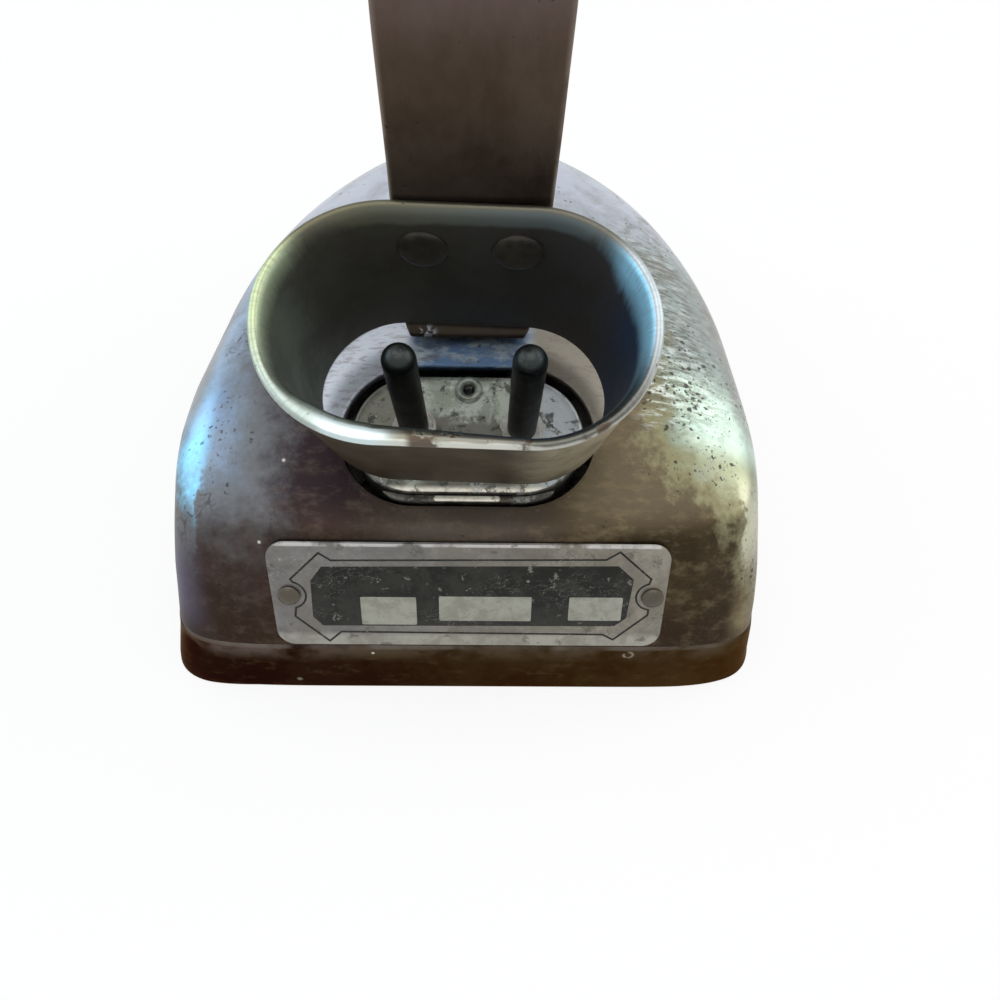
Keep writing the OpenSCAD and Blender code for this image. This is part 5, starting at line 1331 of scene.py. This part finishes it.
def along_grip(y, turned_round=False):
    turn = Matrix.Rotation(math.pi if turned_round else 0, 4, "X")
    return IN_FRAME @ Matrix.Translation((0, y, GRIP_Z)) @ Matrix.Rotation(-math.pi / 2, 4, "X") @ turn


grip = grow(grip_tree(), "turned_grip", along_grip(GRIP_START), Length=GRIP_LENGTH, Neck_Radius=GRIP_END_R,
            Swell_Radius=GRIP_R - 0.02, Neck_Length=FERRULE_LENGTH + 6.0, Bead_Radius=2.2, Bead_Sink=0.6,
            Bead_Place=FERRULE_LENGTH + 2.4, Fullness=0.7, Steps=460, Round_Steps=96,
            Material=FINISHES["black_wood"])
dress(reshaped(finish_mesh(grip, 50.0), IN_FRAME, leaned), None, "black_wood", "wooden_grip")


def ferrule(name, place, node):
    """A thin cup on the end of the grip with a rolled edge."""
    outer = GRIP_END_R + 0.1 + FERRULE_WALL
    inner = outer - FERRULE_WALL
    profile = [(ROD_D / 2 + 0.1, 0.0)]
    profile += [(r, h) for r, h in arc((outer - 1.2, 1.2), 1.2, -90, 0, 6)]
    profile += [(outer - 0.15, 1.9), (outer - 0.15, FERRULE_LENGTH - 1.3)]
    profile += arc((outer - 0.55, FERRULE_LENGTH - 0.55), 0.55, -35, 125, 8)
    profile += [(inner, FERRULE_LENGTH - 0.4), (inner, FERRULE_WALL), (ROD_D / 2 + 0.1, FERRULE_WALL)]
    cup = reshaped(turned(name, profile, place, closed=True, steps=96), IN_FRAME, leaned)
    dress(cup, FINISHES["plated_fasteners"], "plated_fasteners", node)


ferrule("rear_cup", along_grip(GRIP_START - FERRULE_WALL), "rear_ferrule")
ferrule("front_cup", along_grip(GRIP_START + GRIP_LENGTH + FERRULE_WALL, True), "front_ferrule")


# ---------------------------------------------------------------- fasteners
def domed_nut(name, af, flat, height, bore, axis_x=False):
    """A nut with chamfered corners and a domed top over the end of its bolt."""
    corner, dome = af / 2 / math.cos(math.pi / 6), af / 2 - 0.2
    profile = [(bore / 2, 0.0), (af / 2 - 0.1, 0.0), (corner, 0.45), (corner, flat - 0.75), (af / 2 - 0.1, flat)]
    centre = height - dome
    first = math.degrees(math.asin(max(-1.0, min(1.0, (flat - centre) / dome))))
    profile += [(r, h) for r, h in arc((0, centre), dome, first + 2, 88, 14)]
    return pattern(name, profile, steps=96, shape=hexagon(af), axis_x=axis_x)


STUD_ROW = IN_FRAME @ Matrix.Translation((0, (REAR_STUD_Y + FRONT_STUD_Y) / 2, 0)) @ Matrix.Rotation(math.pi / 2, 4, "Z")
STUD_PITCH = FRONT_STUD_Y - REAR_STUD_Y
washer = pattern("washer", [(3.3, 0.0), (6.3, 0.0), (6.5, 0.2), (6.5, WASHER_T - 0.25), (6.25, WASHER_T), (3.3, WASHER_T)],
                 closed=True)
dress(row_of("strap_washers", washer, STUD_PITCH, STUD_ROW @ Matrix.Translation((0, 0, CROWN_TOP)), "steel"),
      None, "steel", "handle_washers")
dress(row_of("domed_nuts", domed_nut("nut", NUT_AF, NUT_H, NUT_H + 3.0, 6.2), STUD_PITCH,
             STUD_ROW @ Matrix.Translation((0, 0, CROWN_TOP + WASHER_T)), "plated_fasteners"),
      None, "plated_fasteners", "cap_nuts")
ROD_MIDDLE = (IN_FRAME @ Matrix.Translation((0, (REAR_LEG_Y + FRONT_LEG_Y) / 2, GRIP_Z))
              @ Matrix.Rotation(math.pi / 2, 4, "Z"))
ROD_NUT_AF, ROD_NUT_FLAT, ROD_NUT_H, ROD_BORE = 9.0, 4.0, 6.5, 5.2
dress(reshaped(row_of("rod_nuts", domed_nut("nut", ROD_NUT_AF, ROD_NUT_FLAT, ROD_NUT_H, ROD_BORE, axis_x=True),
                      FRONT_LEG_Y - REAR_LEG_Y + STRAP_T, ROD_MIDDLE, "plated_fasteners", math.pi), IN_FRAME, leaned),
      None, "plated_fasteners", "grip_nuts")
ROD_REACH = (FRONT_LEG_Y - REAR_LEG_Y + STRAP_T) / 2 + ROD_NUT_FLAT - 1.0
ROD = [(0.2, -ROD_REACH), (ROD_D / 2 - 0.4, -ROD_REACH)]
for first in (-ROD_REACH, ROD_REACH - 9.0):
    for thread in range(11):
        ROD += [(ROD_D / 2, first + 0.4 + thread * 0.8), (ROD_D / 2 - 0.3, first + 0.8 + thread * 0.8)]
ROD += [(ROD_D / 2 - 0.4, ROD_REACH), (0.2, ROD_REACH)]
AT_ROD = along_grip((REAR_LEG_Y + FRONT_LEG_Y) / 2)
dress(reshaped(turned("threaded_rod", ROD, AT_ROD, steps=48), IN_FRAME, leaned), FINISHES["steel"], "steel", "grip_rod")

RIVET_W = COLLAR_LENGTH - RIVET_DROP
AT_RIVETS = (AT_COLLAR @ Matrix.Translation((0, COLLAR_RADIUS + RIVET_W * math.tan(COLLAR_TAPER), RIVET_W))
             @ Matrix.Rotation(-math.pi / 2 - COLLAR_TAPER, 4, "X"))
STACK = STRAP_T + COLLAR_WALL + RIVET_W * (LEG_SLOPE - math.tan(COLLAR_TAPER)) + 0.05
head = RIVET_HEAD_D / 2
rivet = pattern("rivet", [(0.3, -0.8), (head * 0.7, -0.74), (head - 0.3, -0.58), (head, -0.3), (head, 0.0),
                          (1.5, 0.0), (1.5, STACK), (2.55, STACK), (2.55, STACK + 0.75), (2.2, STACK + 1.1),
                          (1.2, STACK + 1.2), (0.3, STACK + 1.2)])
dress(reshaped(row_of("flat_rivets", rivet, RIVET_PITCH, AT_RIVETS, "rivet_steel"), AT_COLLAR,
               lambda x, y, w: (x + 0.45, y - x * SIN_ASKEW, w)), None, "rivet_steel", "collar_rivets")


# ---------------------------------------------------------------- terminals
CAP_RINGS = [(CAP_RADIUS - 0.8, -CAP_SKIRT), (CAP_RADIUS, -CAP_SKIRT), (CAP_RADIUS, -1.1)]
CAP_RINGS += [(r, h) for r, h in arc((CAP_RADIUS - 1.1, -1.1), 1.1, 12, 90, 7)]
CAP_RINGS += [(CAP_RADIUS - 2.0, -0.05), (CAP_RADIUS - 2.6, -0.12)]
CAP_INSIDE = [(CAP_RADIUS - 2.6, -0.8), (CAP_RADIUS - 1.9, -0.95), (CAP_RADIUS - 0.8, -1.9)]


def make_cap():
    """A drawn cap: rounded shoulder, slightly sunk top, with holes for the pins and the eyelet."""
    count = 200
    rings = [CAP_INSIDE[0], *CAP_INSIDE[1:], *CAP_RINGS]
    obj = oval_solid("drawn_cap", rings, CAP_STRAIGHT, AT_TERMINAL, count)
    cutters = [turned("bore", [(r, -3.0), (r, 2.0)], AT_TERMINAL @ Matrix.Translation((x, y, 0)))
               for r, x, y in ((PIN_D / 2 + 0.6, -PIN_PITCH / 2, PIN_OFFSET), (PIN_D / 2 + 0.6, PIN_PITCH / 2, PIN_OFFSET),
                               (1.4, 0.0, EYELET_PLACE))]
    return reshaped(cut(obj, *cutters), AT_TERMINAL, lambda x, y, w: (x, y * 0.955 if y < 0 else y, w))


dress(make_cap(), FINISHES["terminal_tin"], "terminal_tin", "terminal_cap")


def make_ledge():
    """The thin ledge that shows in the gap in front of the cap and tapers away at both ends."""
    turns = [math.radians(a) for a in np.linspace(-27, 30, 58)]
    line = []
    for a in turns:
        side = math.copysign(CAP_STRAIGHT / 2, a)
        line.append((side, a))
    line = [p for p in line if p[1] < 0] + [(x, 0.0) for x in np.linspace(-8.4, 8.4, 40)] + [p for p in line if p[1] > 0]
    verts = []
    for i, (x, a) in enumerate(line):
        end = min(i, len(line) - 1 - i) / 14
        half = 0.56 * math.sin(math.pi / 2 * min(1.0, end)) ** 0.6 + 0.02
        raised = 0.18 if -5.2 < x < 5.0 else 0.0
        for k in range(9):
            turn = math.pi * k / 8
            out = LEDGE_RADIUS + half * math.cos(turn)
            verts.append((x + out * math.sin(a), -out * math.cos(a), -0.75 + raised + 0.35 * math.sin(turn)))
        for across in (-half, half):
            out = LEDGE_RADIUS + across
            verts.append((x + out * math.sin(a), -out * math.cos(a), -1.8))
    faces = ring_faces(len(line), 11)
    return finish_mesh(new_object("front_ledge", mesh_from("front_ledge", verts, faces, AT_TERMINAL)), 50.0)


LEDGE_RADIUS = 10.85
dress(make_ledge(), FINISHES["terminal_tin"], "terminal_tin")

EYELET = [(0.05, EYELET_BOTTOM), (0.95, EYELET_BOTTOM), (1.0, 0.15)] + arc((1.65, 0.1), 0.55, 150, 15, 8)
EYELET += [(2.35, 0.05), (2.35, 0.0), (1.3, 0.0), (1.3, -5.8), (0.05, -5.8)]
AT_EYELET = AT_TERMINAL @ Matrix.Translation((0, EYELET_PLACE, 0))
dress(turned("rolled_eyelet", EYELET, AT_EYELET, closed=True), FINISHES["terminal_tin"], "terminal_tin", "terminal_eyelet")

PIN = [(1.6, -11.0), (1.6, 0.45), (PIN_D / 2 - 0.2, 0.5), (PIN_D / 2, 0.7)]
PIN += [(PIN_D / 2, h) for h in np.linspace(2.0, PIN_STRAIGHT, 12)]
PIN += arc((0, PIN_STRAIGHT), PIN_D / 2, 8, 87, 12)
for side, name in ((-1, "left"), (1, "right")):
    place = AT_TERMINAL @ Matrix.Translation((side * PIN_PITCH / 2, PIN_OFFSET, 0))
    dress(turned(name + "_pin_body", PIN, place), FINISHES["contact_pin"], "contact_pin", name + "_terminal_pin")


def flake(name):
    """A thin insulating ring with a ragged edge, layered like mica."""
    steps = 72
    verts = []
    rows = ((1.7, -0.8), (2.85, -0.8), (2.85, 0.0), (3.58, 0.0), (3.58, 0.24), (3.2, 0.27), (3.3, 0.5), (1.7, 0.5))
    for r, h in rows:
        for i in range(steps):
            a = 2 * math.pi * i / steps
            ragged = noise.noise(Vector((math.cos(a) * 2.3, math.sin(a) * 2.3, h * 3))) if r > 3 else 0.0
            reach = min(r * (1 + 0.13 * ragged - 0.04), 3.58) if r > 3 else r
            verts.append((reach * math.cos(a), reach * math.sin(a), h))
    mesh = bpy.data.meshes.new(name)
    mesh.from_pydata(verts, [], ring_faces(len(rows), steps, closed=True))
    return new_object(name, mesh)


dress(row_of("pin_flakes", flake("flake"), PIN_PITCH, AT_TERMINAL @ Matrix.Translation((0, PIN_OFFSET, 0)), "mica"),
      None, "mica", "pin_bushings")


# ---------------------------------------------------------------- heel plate
def inset_line(points, distance):
    """A closed outline moved inward, for a counter-clockwise list of points."""
    moved = []
    for i, p in enumerate(points):
        a, b, c = Vector(points[i - 1]), Vector(p), Vector(points[(i + 1) % len(points)])
        u, v = (b - a).normalized(), (c - b).normalized()
        n = Vector((-u.y, u.x)) + Vector((-v.y, v.x))
        n /= max(0.5, n.length_squared / 2)
        moved.append((b.x + n.x * distance, b.y + n.y * distance))
    return moved


def thin_plate(name, outlines, low, high, bevel):
    """Flat plates on the heel with bevelled upper edges."""
    verts, faces = [], []
    for outline in outlines:
        rings = [(0.0, low), (0.0, high - bevel), (bevel * 0.3, high - bevel * 0.3), (bevel, high)]
        start, n = len(verts), len(outline)
        for inset, h in rings:
            verts += [(x, y, h) for x, y in inset_line(outline, inset)]
        faces += [tuple(start + i for i in face) for face in ring_faces(len(rings), n)]
    return finish_mesh(new_object(name, mesh_from(name, verts, faces, AT_NAMEPLATE)), 25.0)


def rounded_box(x0, x1, y0, y1, r, steps=8):
    points = []
    for cx, cy, first in ((x1 - r, y0 + r, -90), (x1 - r, y1 - r, 0), (x0 + r, y1 - r, 90), (x0 + r, y0 + r, 180)):
        points += arc((cx, cy), r, first, first + 90, steps)
    return points


def mirrored(right):
    """A closed outline from its right half, listed from the bottom up."""
    return right + [(-x, y) for x, y in reversed(right)]


def frame_line(outline, width):
    """A thin line along a closed outline, a little above the plate."""
    inner, outer = inset_line(outline, width / 2), inset_line(outline, -width / 2)
    n = len(outline)
    verts = []
    for ring, h in ((outer, PLATE_TOP - 0.02), (outer, PLATE_TOP + 0.02), (inner, PLATE_TOP + 0.02), (inner, PLATE_TOP - 0.02)):
        verts += [(x, y, h) for x, y in ring]
    return finish_mesh(new_object("plate_frame_line", mesh_from(
        "plate_frame_line", verts, ring_faces(4, n, closed=True), AT_NAMEPLATE)), 25.0)


PLATE_TOP = PLATE_SEAT + PLATE_T
body = rounded_box(-31.6, 32.6, -10.3, 10.1, PLATE_CORNER)
dress(thin_plate("heel_plate", [body], PLATE_SEAT, PLATE_TOP, 0.12), FINISHES["plate_metal"], "plate_metal", "nameplate")
panel = [(-23.8, -6.2), (24.6, -6.0), (26.5, -4.3), (27.0, 3.6), (24.3, 6.2), (-23.0, 5.7), (-25.0, 2.9), (-25.3, -4.3)]
dress(thin_plate("plate_panel", [panel], PLATE_TOP - 0.05, PLATE_TOP + 0.03, 0.02), FINISHES["plate_black"], "plate_metal")
fields = [rounded_box(*box, 0.25, 3) for box in
          ((-17.3, -8.2, -5.9, -0.2), (-4.5, 10.65, -5.0, 0.0), (16.8, 25.6, -4.8, 0.0))]
dress(thin_plate("plate_fields", fields, PLATE_TOP, PLATE_TOP + 0.07, 0.03), FINISHES["plate_window"], "plate_metal")
left_pin, right_pin = (-28.7, 0.06), (30.4, 0.18)
outline = [(-20.9, -7.5), (22.9, -7.8), (24.7, -8.9), (30.0, -3.6)] + arc(right_pin, 2.7, 262, 108, 12)
outline += [(29.8, 3.7), (24.3, 8.9), (22.2, 7.4), (-21.4, 6.9), (-23.2, 8.3), (-28.2, 3.2)]
outline += arc(left_pin, 2.7, 72, -72, 12) + [(-28.2, -4.3), (-23.0, -9.5)]
dress(frame_line(outline, 0.34), FINISHES["plate_black"], "plate_metal")
PLATE_PIN_PITCH, PIN_MIDDLE = right_pin[0] - left_pin[0], (left_pin[0] + right_pin[0]) / 2
pin_head = PLATE_PIN_HEAD / 2
DRIVE_PIN = [(0.2, PLATE_TOP + 1.1), (0.8, PLATE_TOP + 1.0), (1.4, PLATE_TOP + 0.72), (1.8, PLATE_TOP + 0.38),
             (pin_head, PLATE_TOP + 0.05), (pin_head - 0.05, PLATE_TOP), (0.8, PLATE_TOP), (0.8, -2.8), (0.3, -3.0)]
dress(row_of("heel_drive_pins", pattern("drive_pin", DRIVE_PIN), PLATE_PIN_PITCH,
             AT_NAMEPLATE @ Matrix.Translation((PIN_MIDDLE, 0.1, 0)), "rivet_steel"), None, "rivet_steel", "nameplate_pins")

# ---------------------------------------------------------------- carried-over solids, floor, light, camera
SLOTS = {part["node"]: part["material_slot"] for part in frame["record"]["subparts"]}
for node, obj in frame["nodes"].items():
    obj.data.materials.clear()
    obj.data.materials.append(FINISHES[SLOTS[node]])


def make_floor():
    """A plain pale floor that the camera sees a little paler than it is, with the shadow kept."""
    m = Finish("pale_floor")
    soft = m.noise(m.place, 3.0, 3.0)
    colour = m.blend(soft, (0.86, 0.86, 0.855), (0.90, 0.90, 0.90))
    m.surface(colour, m.add_up((soft, 0.1), (1.0, 0.7)))
    light = m.add("ShaderNodeLightPath").outputs
    seen = m.math("MAXIMUM", m.math("MAXIMUM", light["Is Camera Ray"], light["Is Glossy Ray"]),
                  light["Is Transmission Ray"])
    glow = m.add("ShaderNodeEmission", {"Color": (1.0, 1.0, 1.0), "Strength": 1.0})
    both = m.add("ShaderNodeMixShader", {0: m.math("MULTIPLY", seen, 0.85), 1: m.shader.outputs[0], 2: glow.outputs[0]})
    out = next(n for n in m.tree.nodes if n.type == "OUTPUT_MATERIAL")
    m.tree.links.new(both.outputs[0], out.inputs["Surface"])
    mesh = bpy.data.meshes.new("floor")
    size = 4.0
    steps = 8
    verts = [(mix(-size, size, i / steps), mix(-size, size, j / steps), 0.0) for j in range(steps + 1) for i in range(steps + 1)]
    faces = [(j * (steps + 1) + i, j * (steps + 1) + i + 1, (j + 1) * (steps + 1) + i + 1, (j + 1) * (steps + 1) + i)
             for j in range(steps) for i in range(steps)]
    mesh.from_pydata(verts, [], faces)
    mesh.materials.append(m.material)
    new_object("floor", mesh)


def make_world():
    """An even pale surround that the camera and the metal see as near white."""
    world = bpy.data.worlds.new("surround")
    world.use_nodes = True
    tree = world.node_tree
    tree.nodes.clear()
    b = Nodes(tree)
    light = b.add("ShaderNodeLightPath").outputs
    seen = b.math("MAXIMUM", b.math("MAXIMUM", light["Is Camera Ray"], light["Is Glossy Ray"]),
                  light["Is Transmission Ray"])
    strength = b.between(seen, 0.55, 1.0)
    back = b.add("ShaderNodeBackground", {"Color": (0.97, 0.985, 1.0), "Strength": strength})
    out = b.add("ShaderNodeOutputWorld")
    tree.links.new(back.outputs[0], out.inputs["Surface"])
    bpy.context.scene.world = world


def soft_lamp(name, place, aim, size, power, colour):
    data = bpy.data.lights.new(name, "AREA")
    data.shape, data.size, data.size_y = "RECTANGLE", size[0], size[1]
    data.energy, data.color = power, colour
    lamp = bpy.data.objects.new(name, data)
    bpy.context.scene.collection.objects.link(lamp)
    lamp.location = place
    lamp.rotation_euler = (Vector(aim) - Vector(place)).to_track_quat("-Z", "Y").to_euler()


make_floor()
make_world()
soft_lamp("left_window", (-0.95, 0.10, 0.55), (0, 0, 0.05), (1.0, 0.9), 4.5, (0.74, 0.87, 1.0))
soft_lamp("right_window", (0.95, 0.15, 0.60), (0, 0, 0.05), (1.0, 0.9), 4.5, (1.0, 1.0, 0.94))
soft_lamp("overhead", (0.0, -0.25, 1.3), (0, 0, 0.05), (1.2, 1.2), 7.0, (1.0, 1.0, 1.0))

camera_data = bpy.data.cameras.new("camera")
camera_data.lens, camera_data.sensor_width, camera_data.clip_start = 27.0, 36.0, 0.005
camera = bpy.data.objects.new("camera", camera_data)
bpy.context.scene.collection.objects.link(camera)
camera.matrix_world = (Matrix.Translation((0.002947, -0.147836, 0.12628))
                       @ Matrix.Rotation(math.radians(-1.671), 4, "Z") @ Matrix.Rotation(math.radians(41.568), 4, "X")
                       @ Matrix.Rotation(math.radians(1.809), 4, "Z"))
bpy.context.scene.camera = camera
bpy.context.scene.view_settings.view_transform = "Standard"
